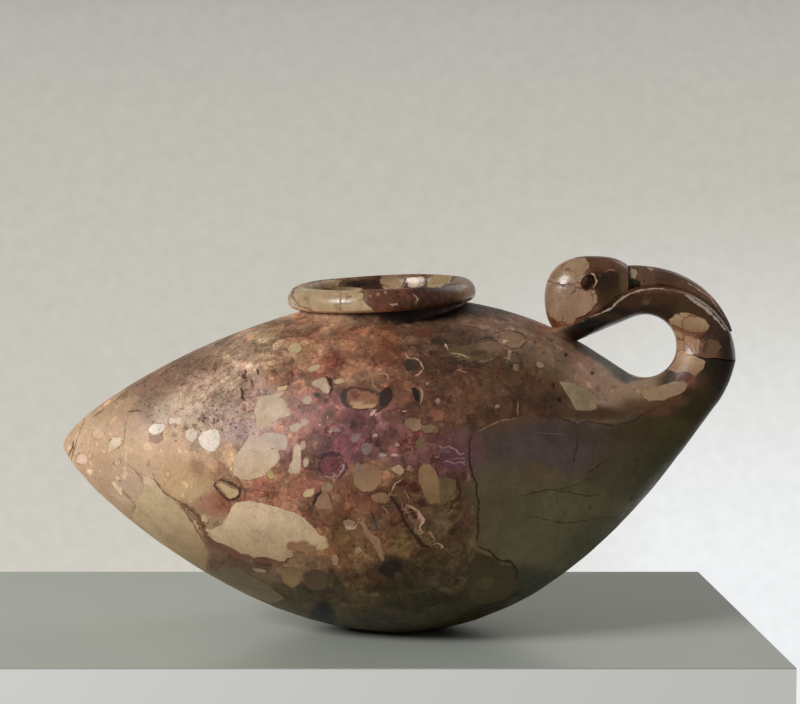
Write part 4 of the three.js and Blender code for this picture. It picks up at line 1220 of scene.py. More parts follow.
RING_INLAYS = [
    ("tan left end", "b0987c", [(286, 296), (289, 288), (297, 283), (304, 284), (296, 290), (292, 297),
     (294, 304), (299, 308), (294, 308), (288, 302)]),
    ("cream front", "ac9370", [(292, 297), (296, 289), (306, 285), (330, 287), (362, 288), (363, 291),
     (364, 300), (370, 307), (375, 311), (372, 320), (340, 320), (312, 314), (299, 309), (294, 304)]),
    ("white dot 1", "967d64", dot(370, 297)), ("white dot 2", "967d64", dot(377, 294)),
    ("white dot 3", "927860", dot(386, 293)), ("white dot 4", "aa9173", dot(392, 305)),
    ("tan of the far wall", "7d6550 to 9a8062", [(381, 273), (403, 273), (405, 280), (402, 288), (384, 289),
     (380, 281)]),
    # Pinkish cream of the far inner wall, with the lamp's reflection on it painted in as a highlight
    ("cream and painted highlight of the far wall", "bca890", [(407, 279), (413, 277), (424, 277), (426, 283), (420, 287),
     (408, 287)]),
    ("olive cream of the far wall", "97805f", [(427, 273), (440, 273), (452, 275), (450, 282), (440, 287),
     (428, 287)]),
    ("tan inside on the left", "887359", [(318, 283), (328, 280), (338, 280), (338, 286), (328, 289),
     (319, 288)]),
]

RING_LINES = [
    ("brown line on the left", "76523e", 0.9, [(305, 283), (294, 289), (292, 297), (298, 305), (314, 312)]),
    ("hair crack of the ring", "825f46", 0.7, [(342, 290), (341, 297), (340, 311)]),
    ("edge of the cream", "5c3e2e", 0.7, [(361, 289), (363, 291), (364, 300), (370, 307), (376, 312)]),
    ("light curl of the ring", "aa8c6e", 0.8, [(412, 294), (416, 296), (418, 299), (415, 304)]),
    ("brown outline inside", "5e4030", 0.9, [(401, 274), (405.5, 279), (404.5, 284), (400, 289)]),
    ("white bits of the ring", "a08468", 0.8, [(392, 307), (394.5, 304.5), (397, 304), (398.5, 306.5)]),
]

RING_ZONES = [
    (290, 296, 10, 10, "b29678"), (328, 298, 24, 14, "b29977"), (388, 300, 18, 12, "644434"),
    # (358, 284) is painted shade: the dark of the mouth's inside, on the lip's inner wall
    (440, 301, 20, 7, "2c201a"), (466, 287, 10, 6, "5e4c3c"), (358, 284, 20, 5, "2a1e1a"),
    (455, 293, 12, 3, "4c3a2e"), (376, 299, 10, 8, "6e4a3c"), (408, 306, 14, 5, "33231a"),
    (425, 294, 12, 4, "4a3028"), (470, 297, 8, 4, "483a2e"), (400, 295, 12, 5, "5c3c30"),
    (316, 284, 6, 4, "624d39"), (370, 276, 10, 3, "684a39"), (411, 276, 6, 4, "82604d"),
    (345, 277, 8, 3, "6e5846"),
]

# %% The head's stone
HEAD_INLAYS = [
    ("cream crown", "93785d", [(547, 281), (549, 276), (556, 267), (565, 261), (575, 257), (584, 257),
     (588, 262), (588, 267), (585, 271), (581, 276), (581, 280), (575, 281), (566, 283), (557, 281),
     (549, 281)]),
    ("pink cheek", "8a6e57", [(547, 284), (556, 286), (565, 286), (576, 286), (585, 286), (589, 288),
     (595, 290), (598, 295), (597, 301), (593, 309), (586, 315), (576, 318), (572, 324), (564, 325),
     (556, 321), (550, 316), (547, 308), (546, 298)]),
    ("red patch over the eye", "553929", [(588, 262), (592, 257), (602, 256), (613, 259), (615, 266),
     (604, 270), (596, 268), (590, 268)]),
    ("sliver in the chin", "785a44", [(561, 325), (564, 325), (565, 332), (562, 332)]),
]

HEAD_LINES = [
    ("red vein", "543226", 1.1, [(546, 281), (557, 284), (564, 286), (572, 284), (581, 282)]),
    # Painted highlight: the lit crescent on the socket's lower right wall
    ("painted highlight in the socket", "b89078", 1.0, [(590.5, 273), (593.5, 274.5), (595.8, 277.5), (596.3, 281),
     (594.8, 284.5), (591.8, 287), (588, 288)]),
    ("light arc over the face", "6e5642", 0.7, [(604, 272), (609, 270), (617, 270)]),
    ("edge of the cheek", "3c241c", 1, [(585, 285), (590, 287), (596, 289), (599, 295), (598, 302),
     (593, 310), (586, 316), (576, 319)]),
]

HEAD_ZONES = [
    (560, 272, 14, 12, "947a61"), (572, 302, 16, 14, "836751"), (560, 326, 12, 6, "5e3d2d"),
    (605, 285, 14, 12, "2c1f15"), (600, 262, 12, 6, "583c2d"), (612, 300, 10, 8, "36291c"),
    (625, 281, 3, 14, "48382a"), (588, 320, 12, 7, "442e20"),
]

# %% The neck's stone
NECK_INLAYS = [
    ("olive clast of the neck", "4f3e29", [(641, 299), (646, 295), (652, 297), (651, 302), (647, 305),
     (642, 304)]),
    ("upper cream clast", "9c8062 to 8a6c50", [(669, 320), (675, 314), (684, 312.5), (693, 315), (704, 319),
     (710, 326), (707, 331), (697, 333), (689, 330), (679, 327), (672, 324)]),
    ("pink cream clast", "9c7a5d", [(674, 330), (685, 335), (699, 337), (701, 345), (699, 354), (689, 352),
     (674, 350), (672, 340)]),
    ("tan patch", "5c4432", [(702, 341), (709, 339), (718, 341.5), (722, 347), (718, 353), (709, 355),
     (703, 351)]),
]

NECK_LINES = [
    # Painted highlights along the neck's crest, where its edge catches the light
    ("painted highlight on the crest", "9c8472", 0.9, [(589, 318), (600, 314), (612, 307), (624, 297.5), (634, 291.3),
     (644, 289), (657, 288.3), (670, 291)]),
    ("painted highlight on the crest on the right", "968272", 1.5, [(684, 294), (692, 298.5), (700, 304.5), (710, 313),
     (718, 321.5), (726, 332)]),
    ("red vein over the pink clast", "6e3a2c", 1.1, [(672, 325), (680, 329), (690, 333), (699, 334),
     (706, 332)]),
    ("red vein through it", "7a4634", 0.7, [(677, 337), (684, 342), (690, 347), (693, 353)]),
    ("red vein beside it", "5e3024", 1.0, [(700, 333), (702, 340), (700, 347), (701, 354)]),
]

NECK_ZONES = [
    # Painted light and shade under the chin: (559, 330) is painted light on the chin's lower edge, and the
    # near-black zones from (570, 331) to (645, 309) are painted shade on the strap's underside
    (559, 330, 7, 4, "7c604c"), (570, 331, 8, 3, "241c16"), (598, 322, 16, 6, "1a130e"),
    (618, 313, 14, 5, "1e1710"), (645, 309, 18, 4, "221a12"), (606, 316, 10, 3, "3a291d"),
    (628, 303, 12, 5, "35251a"), (655, 299, 16, 7, "382619"), (650, 291, 20, 2, "4e3527"),
    (690, 305, 16, 7, "40301f"), (712, 330, 10, 14, "3a2a20"), (703, 355, 12, 12, "5c4232"),
    (727, 345, 6, 16, "2a211a"), (680, 345, 10, 12, "7c5c46"), (664, 312, 8, 5, "2a1e15"),
]

# %% The bill's stone
BILL_INLAYS = [
    ("cream clast of the bill", "8a765e", [(629, 271), (632, 268), (637, 269), (638, 274), (634, 279),
     (630, 278)]),
    ("cream bit of the bill", "896e56", [(647, 267), (651, 265), (653, 269), (650, 271)]),
    ("dark spot of the bill", "2a261c", [(627, 280), (634, 278), (641, 281), (640, 287), (631, 288)]),
]

BILL_LINES = [
    # Painted highlight along the bill's top edge
    ("painted highlight on the bill's edge", "92786a", 0.8, [(686, 282), (697, 288), (707, 296), (717, 307), (725, 319),
     (731, 330)]),
    # Painted shade in the groove between the bill and the neck
    ("painted shade in the bill's groove", "2e1e18", 0.9, [(655, 284), (672, 286), (690, 292), (705, 303), (718, 316)]),
]

BILL_ZONES = [
    (640, 272, 14, 10, "5a4638"), (665, 276, 18, 8, "443126"), (690, 290, 14, 10, "4e3a2e"),
    (700, 300, 14, 14, "4c382c"), (725, 328, 10, 12, "403026"),
]

# %% Grit and pits: x, y, reach across, reach up, amount
GRIT_ZONES = [
    (110, 450, 40, 30, 0.14), (200, 400, 50, 30, 0.16), (300, 390, 50, 30, 0.7), (340, 440, 40, 40, 0.6),
    (290, 490, 40, 25, 0.7), (350, 520, 40, 40, 0.6), (400, 560, 50, 30, 0.8), (440, 350, 50, 30, 0.6),
    (500, 370, 60, 30, 0.4), (600, 380, 50, 30, 0.2), (560, 500, 80, 60, 0.04), (170, 520, 40, 30, 0.08),
    (400, 500, 40, 40, 0.5), (250, 580, 60, 20, 0.3), (420, 600, 60, 14, 0.5), (640, 440, 30, 30, 0.1),
]
PIT_ZONES = [
    (208, 395, 42, 26, 0.8), (160, 400, 26, 16, 0.5), (300, 360, 40, 20, 0.35), (430, 350, 40, 22, 0.45),
    (500, 345, 50, 18, 0.5), (110, 440, 30, 30, 0.2), (340, 450, 60, 50, 0.12), (360, 550, 60, 40, 0.25),
    (560, 500, 90, 60, 0.06), (590, 380, 50, 30, 0.3), (250, 500, 60, 40, 0.1),
]

# %% [markdown]
# ## Reading the lists onto the skins
#
# Each point of a skin gets its place in the picture. The far side, which no picture shows, gets the
# near side's stone shifted about by slow noise, so that it has the same kinds of stone but not the
# same pattern. Small noise frays every edge.

# %% Places in the picture
FRAY = ((2.6, 1.1), (1.3, 0.6))  # size of the noise in mm, and how far it moves an edge in pixels
DRIFT_SIZE = 36  # mm over which the far side's shift of the pattern changes


def pair(points, size, shift):
    """Two unlike noises, side by side, that move a place in the picture."""
    return np.stack([noise(points, size, shift), noise(points, size, shift + 11)], axis=1)


def picture_place(points, normals, drift):
    """Pixel for each point. Points that face away are mirrored to the near side and drift."""
    away = smooth(normals[:, 1] + 0.25 * noise(points, 9, 3.0), -0.3, 0.3)
    sideways = -np.abs(points[:, 1]) if drift else points[:, 1]
    place = seen_at(np.stack([points[:, 0], sideways, points[:, 2]], axis=1))
    place += drift * away[:, None] * pair(points, DRIFT_SIZE, 2.0)
    for size, reach in FRAY:
        place += reach * pair(points, size, 21.0)
    return place


# %% Colours that blend
def blended(place, zones):
    """Mean of the zones' colours or amounts, each weighed by a bell curve over its own reach. Small
    zones weigh more, so that they show inside large ones."""
    total, weights = 0, 1e-12
    for x, y, wide, high, shade in zones:
        value = linear(shade) if isinstance(shade, str) else np.array([shade])
        bell = np.exp(-(((place[:, 0] - x) / wide) ** 2) - ((place[:, 1] - y) / high) ** 2) / (wide * high)
        total = total + bell[:, None] * value
        weights = weights + bell[:, None]
    return total / weights


# %% Distances to outlines
FAR = 12.0  # pixels; no distance is measured beyond this


def polygon_distance(place, corners):
    """Distance to the nearest side, positive inside. A point is inside where a level ray from it
    crosses the outline an odd number of times."""
    start = np.asarray(corners, dtype=float)
    side = np.roll(start, -1, axis=0) - start
    off = place[:, None] - start
    share = np.clip((off * side).sum(axis=2) / (side**2).sum(axis=1), 0, 1)
    nearest = np.linalg.norm(off - share[..., None] * side, axis=2).min(axis=1)
    end = start + side
    spans = (start[:, 1] > place[:, 1:]) != (end[:, 1] > place[:, 1:])
    rise = np.where(side[:, 1] == 0, 1e-9, side[:, 1])
    crossed = spans & (off[..., 0] < off[..., 1] * side[:, 0] / rise)
    return np.where(crossed.sum(axis=1) % 2 == 1, nearest, -nearest)


def oval_distance(place, x, y, wide, high):
    """Nearly the distance to an ellipse: (1 - r) times its smaller half size, r = 1 on its edge."""
    radius = np.hypot((place[:, 0] - x) / wide, (place[:, 1] - y) / high)
    return (1 - radius) * min(wide, high)


def shades_down(shade, y, corners):
    """A fragment's shade, or the blend of two, the first at its top and the second at its foot."""
    top, foot = linear(shade[:6]), linear(shade[-6:])
    share = (y - corners[:, 1].min()) / np.ptp(corners[:, 1])
    return top + (foot - top) * smooth(share, 0, 1)[:, None]


def lay_inlays(place, polygons, pebbles, ground):
    """Signed distance to the topmost fragment's edge, and that fragment's colour, for every point."""
    edge = np.full(len(place), -FAR)
    colour = ground.copy()
    shapes = [(shade, np.array(corners), None) for _, shade, corners in polygons]
    for x, y, wide, high, shade in pebbles:
        box = np.array([(x - wide, y - high), (x + wide, y + high)])
        shapes.append((shade, box, (x, y, wide, high)))
    for shade, corners, oval in shapes:
        low, high = corners.min(axis=0) - FAR, corners.max(axis=0) + FAR
        near = np.flatnonzero(((place > low) & (place < high)).all(axis=1))
        if oval:
            distance = oval_distance(place[near], *oval)
        else:
            distance = polygon_distance(place[near], corners)
        before = edge[near]
        closest = (distance > 0) | ((before < 0) & (distance > before))
        chosen = near[closest]
        colour[chosen] = shades_down(shade, place[chosen, 1], corners) if shade else ground[chosen]
        smaller = np.sign(before) * np.minimum(np.abs(before), np.abs(distance))
        edge[near] = np.where(distance > 0, distance, smaller)
    return edge, colour


# %% Distances to lines
LINE_REACH = 4.5  # pixels; beyond this a line has no width


def lay_lines(place, lines):
    """Distance to the nearest line with its side's sign, the line's half width there, which tapers
    to nothing at both ends as sqrt(6 s (1 - s)), at most 1, and its colour."""
    distance = np.full(len(place), FAR)
    width = np.zeros(len(place))
    colour = np.zeros((len(place), 3))
    for _, shade, half_width, corners in lines:
        corners = np.asarray(corners, dtype=float)
        low, high = corners.min(axis=0) - FAR, corners.max(axis=0) + FAR
        near = np.flatnonzero(((place > low) & (place < high)).all(axis=1))
        start, side = corners[:-1], np.diff(corners, axis=0)
        length = np.linalg.norm(side, axis=1)
        off = place[near][:, None] - start
        share = np.clip((off * side).sum(axis=2) / length**2, 0, 1)
        gaps = np.linalg.norm(off - share[..., None] * side, axis=2)
        best = gaps.argmin(axis=1)
        row = np.arange(len(near))
        gap = gaps[row, best]
        over = side[best, 0] * off[row, best, 1] - side[best, 1] * off[row, best, 0]
        run = ((np.cumsum(length) - length)[best] + share[row, best] * length[best]) / length.sum()
        closer = gap < np.abs(distance[near])
        chosen = near[closer]
        distance[chosen] = np.where(over < 0, -gap, gap)[closer]
        taper = np.sqrt(np.minimum(1, 6 * run * (1 - run)))
        width[chosen] = (half_width * taper * (gap < LINE_REACH))[closer]
        colour[chosen] = linear(shade)
    return distance, width, colour


# %% [markdown]
# ## Taking the light back out
#
# The listed colours hold the photograph's light. The scene has its own, so what the polish mirrors is
# taken off each listed colour, and the rest is divided by the level that the scene's lamps, room and
# slab bring to the point. The lamps' part is their plain formula, with each lamp's true distance. The
# other part was fitted on a grey copy of the vessel, rendered in this light. Shadows that these levels
# leave out, under the lip and the neck, and highlights on crests and edges, stay painted in the lists.

# %% Level of light on a surface
TERMINATOR = 0.12  # cosine below which a lamp of some size goes down softly


def lamp_level_at(points, normals, lamp_place, lamp_level):
    """cos(angle to the lamp) (its distance from the middle / its distance from here)^2"""
    way = lamp_place - points
    distance = np.linalg.norm(way, axis=1)
    facing = (normals * way).sum(axis=1) / distance
    soft = TERMINATOR * np.exp(np.minimum(facing, TERMINATOR) / TERMINATOR - 1)
    return lamp_level * np.where(facing > TERMINATOR, facing, soft) * (LAMP_DISTANCE / MM / distance) ** 2


# Fitted levels: even light of the room, light thrown up by the slab, and what the head shades off
TAIL_ROOM, TAIL_SLAB = 0.075, 0.19
BREAST_ROOM, BREAST_SLAB, BREAST_SHADED = 0.15, 0.11, 0.2
TOP_ROOM, TOP_SLAB = 0.08, 0.07
SLAB_SEEN_BELOW, SLAB_POWER = 0.25, 1.3  # upward part of the normal from which the lit slab is seen
SHADED_ABOVE = 0.3  # the same, for the skin under the head
MIDDLE = (0, 30)  # x over which the tail's level goes over to the breast's
OUT_OF_REACH = (84, 100)  # heights over which the slab's light is lost
LAMP_GAIN = 1.05


def indirect_level(points, normals):
    """Room and slab together. Towards the tail the slab is lit and throws light up, in proportion to
    (0.25 - n)^1.3 with n the normal's upward part. Past the middle it lies in the shadow, and the
    skin under the head is shaded. The ring, neck and head are out of the slab's reach."""
    up = normals[:, 2]
    down = np.clip(-up, 0, 1)
    by_tail = TAIL_ROOM + TAIL_SLAB * np.clip(SLAB_SEEN_BELOW - up, 0, None) ** SLAB_POWER
    by_breast = BREAST_ROOM + BREAST_SLAB * down - BREAST_SHADED * np.clip(up - SHADED_ABOVE, 0, 1)
    on_top = TOP_ROOM + TOP_SLAB * down
    low_level = by_tail + (by_breast - by_tail) * smooth(points[:, 0], *MIDDLE)
    return low_level + (on_top - low_level) * smooth(points[:, 2], *OUT_OF_REACH)


def light_level(points, normals):
    """What the lamps and their surroundings bring to a point, 1 where white renders as white."""
    level = indirect_level(points, normals)
    for lamp_place, (_, _, _, lamp_level, _) in zip(lamp_places, LAMPS):
        level += LAMP_GAIN * lamp_level_at(points, normals, lamp_place, lamp_level)
    return level


FAR_SIDE = (0.1, 0.35)  # part of the normal away from the camera, where the far side starts and is full
GLOSS_SHARE = 0.006  # what the polish mirrors of the room, over every colour
KEPT_AT_LEAST = 0.4  # the share of a listed colour that always stays when the gloss is taken off
DARKEST, LIGHTEST = 0.004, 0.82


def pictured_level(points, normals):
    """The level where the picture shows the stone. The far side reads its colours off the near side,
    so it takes the level of the mirrored point."""
    away = smooth(normals[:, 1], *FAR_SIDE)
    mirrored = light_level(points * (1, -1, 1), normals * (1, -1, 1))
    here = light_level(points, normals)
    return here + (mirrored - here) * away


def stone_colour(seen_colour, level):
    """(seen - gloss) / level, no part below the darkest, and dimmed as a whole to the lightest."""
    own = np.maximum(seen_colour - GLOSS_SHARE, KEPT_AT_LEAST * seen_colour) / level[:, None]
    dimming = LIGHTEST / np.maximum(own.max(axis=1), LIGHTEST)
    return np.maximum(own * dimming[:, None], DARKEST)


# %% Attributes on the pieces
def store(made, name, values):
    """Keeps numbers, or colours, as an attribute of the points."""
    kind, field = ("FLOAT_COLOR", "color") if values.ndim == 2 else ("FLOAT", "value")
    if values.ndim == 2:
        values = np.hstack([values, np.ones((len(values), 1))])
    layer = made.data.attributes.new(name, kind, "POINT")
    layer.data.foreach_set(field, values.astype(np.float32).ravel())


SIDE_FADE = (0.27, 40)  # fragments end where the skin faces less than this sideways, mm per unit


def dress(made, zones, inlays, pebbles, lines, drift=26):
    """Reads the lists onto one piece and keeps the results as point attributes, lengths in mm."""
    points, normals = points_of(made)
    place = picture_place(points, normals, drift)
    ground = blended(place, zones)
    edge, inlay = lay_inlays(place, inlays, pebbles, ground)
    distance, width, line = lay_lines(place, lines)
    edge *= MM_PER_PIXEL
    if drift:
        sideways = np.abs(normals[:, 1]) - SIDE_FADE[0] + 0.12 * noise(points, 5, 8.0)
        edge = np.minimum(edge, sideways * SIDE_FADE[1])
        width *= sideways > 0
    level = pictured_level(points, normals)
    store(made, "ground", stone_colour(ground, level))
    store(made, "inlay", stone_colour(inlay, level))
    store(made, "line", stone_colour(line, level))
    store(made, "edge", edge)
    store(made, "line_distance", distance * MM_PER_PIXEL)
    store(made, "line_width", width * MM_PER_PIXEL)
    store(made, "grit", blended(place, GRIT_ZONES)[:, 0])
    store(made, "pits", blended(place, PIT_ZONES)[:, 0])
    print(made.name, "dressed,", int((edge > 0).sum()), "of", len(points), "points on fragments")


dress(body, BODY_ZONES, BODY_INLAYS, BODY_PEBBLES, BODY_LINES)
dress(tail_tip, BODY_ZONES, BODY_INLAYS, BODY_PEBBLES, BODY_LINES, 0)
dress(lip, RING_ZONES, RING_INLAYS, [], RING_LINES, 0)
dress(neck, NECK_ZONES, NECK_INLAYS, [], NECK_LINES, 6)
dress(head, HEAD_ZONES, HEAD_INLAYS, [], HEAD_LINES, 5)
dress(bill, BILL_ZONES, BILL_INLAYS, [], BILL_LINES, 3)

# %% [markdown]
# ## The polished stone's material
#
# The attributes carry what the eye can name. The shader adds what it can't: mottling inside every
# patch, grit between the fragments, frayed and stained edges, pits, and the uneven gloss of a hand
# polish. All sizes are in mm, because the object's coordinates are first scaled to mm.

# %% Spaces, patches and cells in mm
def mm_space(tree, stretch=(1, 1, 1)):
    """Object coordinates in mm, from the object's own origin."""
    scale = tuple(part / MM for part in stretch)
    return add(tree, "Mapping", add(tree, "TexCoord", out="Object"), None, None, scale)


def patches(tree, space, size, detail, low, high, to_low=0.0, to_high=1.0, roughness=0.6):
    """Soft patches: noise with lumps of a size in mm, carried from low and high to two new values."""
    lumps = add(tree, "TexNoise", space, 1 / size, detail, roughness)
    return add(tree, "MapRange", lumps, low, high, to_low, to_high)


def tinted(tree, share, colour, tint):
    """The colour, multiplied by a tint as far as the share says."""
    full = add(tree, "Mix", 1.0, colour, paint(tint), blend_type="MULTIPLY")
    return add(tree, "Mix", share, colour, full)


def pushed(tree, space, size, reach):
    """Coordinates moved about by coloured noise, which makes straight cell walls ragged."""
    push = add(tree, "TexNoise", space, 1 / size, 4.0, out="Color")
    push = add(tree, "VectorMath", push, (0.5, 0.5, 0.5), operation="SUBTRACT")
    return add(tree, "VectorMath", space, add(tree, "VectorMath", push, reach), operation="ADD")


def cells_of(tree, space, size, offset):
    """Voronoi cells of a size: two random numbers of each cell, and the distance to its wall in mm."""
    place = add(tree, "VectorMath", space, (offset, offset, offset), operation="ADD")
    wall = add(tree, "TexVoronoi", place, 1 / size, feature="DISTANCE_TO_EDGE")
    cells = add(tree, "TexVoronoi", place, 1 / size, out="Color", feature="F1")
    chance = add(tree, "SeparateColor", cells).node.outputs
    return chance["Red"], chance["Green"], add(tree, "Math", wall, size)


# %% The ground between the fragments
CELL_SIZES = ((9.5, 5.0, 0.13, 0.45), (4.2, 17.0, 0.1, 0.3))  # mm, offset, contrast, vein in mm
GRIT_SIZES = ((4.6, 3.0), (2.3, 11.0), (1.1, 23.0))  # mm, offset


def ground_colour(tree, space, read, grit_share):
    """Half dissolved fragments with thin iron-red veins between, and grit on top. The quieter the
    stone (little grit), the fainter they all are."""
    busy = add(tree, "MapRange", read["grit"], 0.08, 0.5, 0.32, 1.7)
    clouds = patches(tree, space, 4.0, 7.0, 0.32, 0.68, -0.14, 0.14, 0.72)
    clouds = add(tree, "Math", clouds, busy, 1.07, operation="MULTIPLY_ADD")
    colour = add(tree, "VectorMath", read["ground"], clouds)
    veins = patches(tree, space, 6.0, 3.0, 0.42, 0.7)
    veins = add(tree, "Math", veins, add(tree, "MapRange", read["grit"], 0.12, 0.6, 0.3, 1.0))
    for size, offset, contrast, vein in CELL_SIZES:
        shade, tone, wall = cells_of(tree, pushed(tree, space, size * 0.6, size * 0.75), size, offset)
        step = add(tree, "Math", add(tree, "MapRange", shade, 0.1, 0.9, -contrast, contrast), busy)
        colour = add(tree, "VectorMath", colour, add(tree, "Math", step, 1.0, operation="ADD"))
        rosy = add(tree, "Math", add(tree, "MapRange", tone, 0.55, 0.8), busy)
        colour = tinted(tree, rosy, colour, "fcf0ee")
        pale = add(tree, "Math", add(tree, "MapRange", tone, 0.4, 0.15), busy)
        colour = tinted(tree, pale, colour, "f6f4ec")
        on_wall = add(tree, "Math", add(tree, "MapRange", wall, 0.05, vein, 1.0, 0.0), veins)
        colour = tinted(tree, add(tree, "Math", on_wall, 0.8), colour, "c49a8a")
    ragged = pushed(tree, space, 1.1, 1.3)
    for size, offset in GRIT_SIZES:
        chance, tone, wall = cells_of(tree, ragged, size, offset)
        amount = add(tree, "Math", read["grit"], grit_share)
        there = add(tree, "Math", chance, amount, operation="LESS_THAN")
        grain = add(tree, "Math", there, add(tree, "MapRange", wall, 0.05 * size, 0.16 * size))
        shaded = add(tree, "VectorMath", colour, add(tree, "MapRange", tone, 0.1, 0.8, 0.58, 1.5))
        colour = add(tree, "Mix", add(tree, "Math", grain, 0.75), colour, shaded)
    return colour


# %% Fragments, and cracks over all
def with_fragments(tree, space, read, fine, colour, veins, rim_tint):
    """Fragments with a frayed edge, a mottle of their own, hair veins and a thin stained rim."""
    fray = add(tree, "Math", fine, 0.7, -0.35, operation="MULTIPLY_ADD")
    frayed = add(tree, "Math", read["edge"], fray, operation="ADD")
    crispness = patches(tree, space, 6.0, 2.0, 0.35, 0.6, 0.3, 1.0)
    inside = add(tree, "MapRange", add(tree, "Math", frayed, crispness), -0.14, 0.12)
    clouds = patches(tree, space, 7.0, 7.0, 0.32, 0.68, 0.86, 1.14, 0.7)
    fragment = add(tree, "VectorMath", read["inlay"], clouds)
    fragment = tinted(tree, patches(tree, space, 1.3, 4.0, 0.55, 0.75), fragment, "f0e2d2")
    _, _, wall = cells_of(tree, pushed(tree, space, 4.0, 4.5), 6.5, 31.0)
    there = add(tree, "Math", patches(tree, space, 9.0, 2.0, 0.4, 0.6), veins)
    hair = add(tree, "Math", add(tree, "MapRange", wall, 0.06, 0.4, 1.0, 0.0), there)
    fragment = tinted(tree, hair, fragment, rim_tint)
    colour = add(tree, "Mix", inside, colour, fragment)
    off_rim = add(tree, "Math", frayed, 0.1, operation="ADD")
    off_rim = add(tree, "Math", off_rim, operation="ABSOLUTE")
    rim = add(tree, "MapRange", off_rim, 0.06, 0.3, 1.0, 0.0)
    rim = add(tree, "Math", rim, patches(tree, space, 3.0, 2.0, 0.42, 0.62))
    return tinted(tree, add(tree, "Math", rim, 0.6), colour, rim_tint)


def line_share(tree, space, read, fine, fray):
    """1 on a crack or vein. Its width comes and goes, and is nothing where no line is near."""
    frayed = add(tree, "Math", fine, fray, -fray / 2, operation="MULTIPLY_ADD")
    off = add(tree, "Math", read["line_distance"], frayed, operation="ADD")
    off = add(tree, "Math", off, operation="ABSOLUTE")
    width = add(tree, "Math", read["line_width"], patches(tree, space, 1.6, 2.0, 0.3, 0.7, 0.45, 1.4))
    past = add(tree, "Math", off, width, operation="SUBTRACT")
    has_line = add(tree, "Math", read["line_width"], 0.03, operation="GREATER_THAN")
    return add(tree, "Math", add(tree, "MapRange", past, -0.14, 0.1, 1.0, 0.0), has_line)


# %% Pits
PIT_SIZES = (  # mm, detail, roughness, how much the list of pits adds, and where a pit starts and is deep
    (1.5, 3.0, 0.6, 0.12, 0.68, 0.76),
    (0.7, 2.0, 0.55, 0.1, 0.7, 0.8),
)


def off_fragment(tree, read):
    """1 on the ground and little on the hard fragments."""
    return add(tree, "MapRange", read["edge"], -0.2, 0.3, 1.0, 0.12)


def pit_share(tree, read):
    """1 in a pit: where fine noise peaks, the more often the rougher the skin is there. The hard
    fragments have few."""
    wide = mm_space(tree, (1, 1, 1.7))
    found = []
    for size, detail, roughness, more, low, high in PIT_SIZES:
        peaks = add(tree, "TexNoise", wide, 1 / size, detail, roughness)
        peaks = add(tree, "Math", read["pits"], more, peaks, operation="MULTIPLY_ADD")
        found.append(add(tree, "MapRange", peaks, low, high))
    either = add(tree, "Math", *found, operation="MAXIMUM")
    return add(tree, "Math", either, off_fragment(tree, read))


# %% The breccia
COLOUR_FIELDS = ("ground", "inlay", "line")
NUMBER_FIELDS = ("edge", "line_distance", "line_width", "grit", "pits")


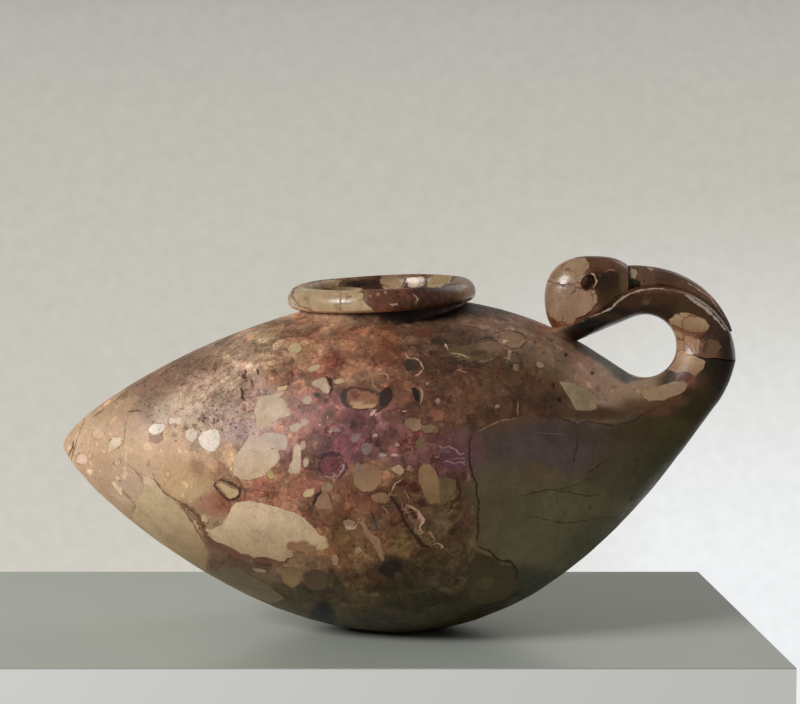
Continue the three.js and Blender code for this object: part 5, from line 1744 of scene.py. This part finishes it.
def breccia(name, gloss, shine, grit_share, fray, veins, rim_tint):
    """One stone for all pieces. Its kinds differ in the roughness (gloss) and strength (shine) of the
    polish, the share of grit, the fray of cracks in mm, the hair veins and the tint of stained rims."""
    material, tree = new_material(name)
    space = mm_space(tree)
    read = {field: add(tree, "Attribute", out="Color", attribute_name=field) for field in COLOUR_FIELDS}
    for field in NUMBER_FIELDS:
        read[field] = add(tree, "Attribute", out="Fac", attribute_name=field)
    fine = add(tree, "TexNoise", space, 1 / 0.9, 5.0, 0.7)
    colour = ground_colour(tree, space, read, grit_share)
    colour = with_fragments(tree, space, read, fine, colour, veins, rim_tint)
    on_line = line_share(tree, space, read, fine, fray)
    colour = add(tree, "Mix", add(tree, "Math", on_line, 0.85), colour, read["line"])
    hollow = pit_share(tree, read)
    colour = tinted(tree, add(tree, "Math", hollow, 0.6), colour, "9c8270")
    leather = patches(tree, space, 2.2, 5.0, 0.36, 0.6, 1.0, 0.0, 0.7)
    leather = add(tree, "Math", leather, add(tree, "MapRange", read["pits"], 0.35, 0.8))
    leather = add(tree, "Math", leather, off_fragment(tree, read))
    colour = tinted(tree, leather, colour, "c8b8ac")

    # The stone's own grain, a tenth of a millimetre, is drawn at half a millimetre so that it shows
    grain = add(tree, "TexNoise", space, 1 / 0.5, 3.0, 0.66)
    grain = add(tree, "Math", grain, 0.5, operation="SUBTRACT")
    grain = add(tree, "Math", grain, add(tree, "MapRange", read["pits"], 0.2, 0.8, 0.1, 0.2))
    grain = add(tree, "Math", grain, 6.0, 1.0, operation="MULTIPLY_ADD")
    colour = add(tree, "VectorMath", colour, grain)

    depth = add(tree, "Math", hollow, -1.0, add(tree, "Math", on_line, -0.3), operation="MULTIPLY_ADD")
    height = add(tree, "Math", depth, add(tree, "Math", fine, 0.2), operation="ADD")
    relief = add(tree, "Bump", named={"Height": height, "Strength": 0.55, "Distance": 0.3 * MM})
    polish = patches(tree, space, 4.0, 3.0, 0.3, 0.7, gloss - 0.06, gloss + 0.1)
    dulled = add(tree, "Math", add(tree, "Math", hollow, on_line, operation="MAXIMUM"), 0.35)
    surface = add(tree, "BsdfPrincipled", named={
        "Base Color": colour,
        "Roughness": add(tree, "Math", polish, dulled, operation="ADD"),
        "Normal": relief,
        "Specular IOR Level": shine,
    })
    add(tree, "OutputMaterial", surface)
    return material


# Rubbed with sand and then with hide, the body has a satin that softens the lamp's mirror image. The
# lip, neck, head and bill, handled most, mirror it sharply. Both keep stone's usual index, 1.5.
satin_breccia = breccia(
    "breccia, satin hand polish",
    gloss=0.46, shine=0.32, grit_share=0.6, fray=0.8, veins=0.2, rim_tint="b08e7c",
)
bright_breccia = breccia(
    "breccia, brighter polish of handled parts",
    gloss=0.25, shine=0.5, grit_share=0.3, fray=0.3, veins=0.8, rim_tint="a66e5c",
)

# %% Pieces take their stone and their place in the frame
SHARP_FROM = math.radians(38)  # edges that turn more than this stay sharp
nodes = ("vessel_body", "tail_tip", "mouth_lip", "neck_arch", "head", "bill")
for made, node in zip(pieces, nodes):
    stone = satin_breccia if made in (body, tail_tip) else bright_breccia
    made.data.materials.append(stone)
    made.data.shade_smooth()
    made.data.set_sharp_from_angle(angle=SHARP_FROM)
    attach(made, "root")
    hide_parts(node)
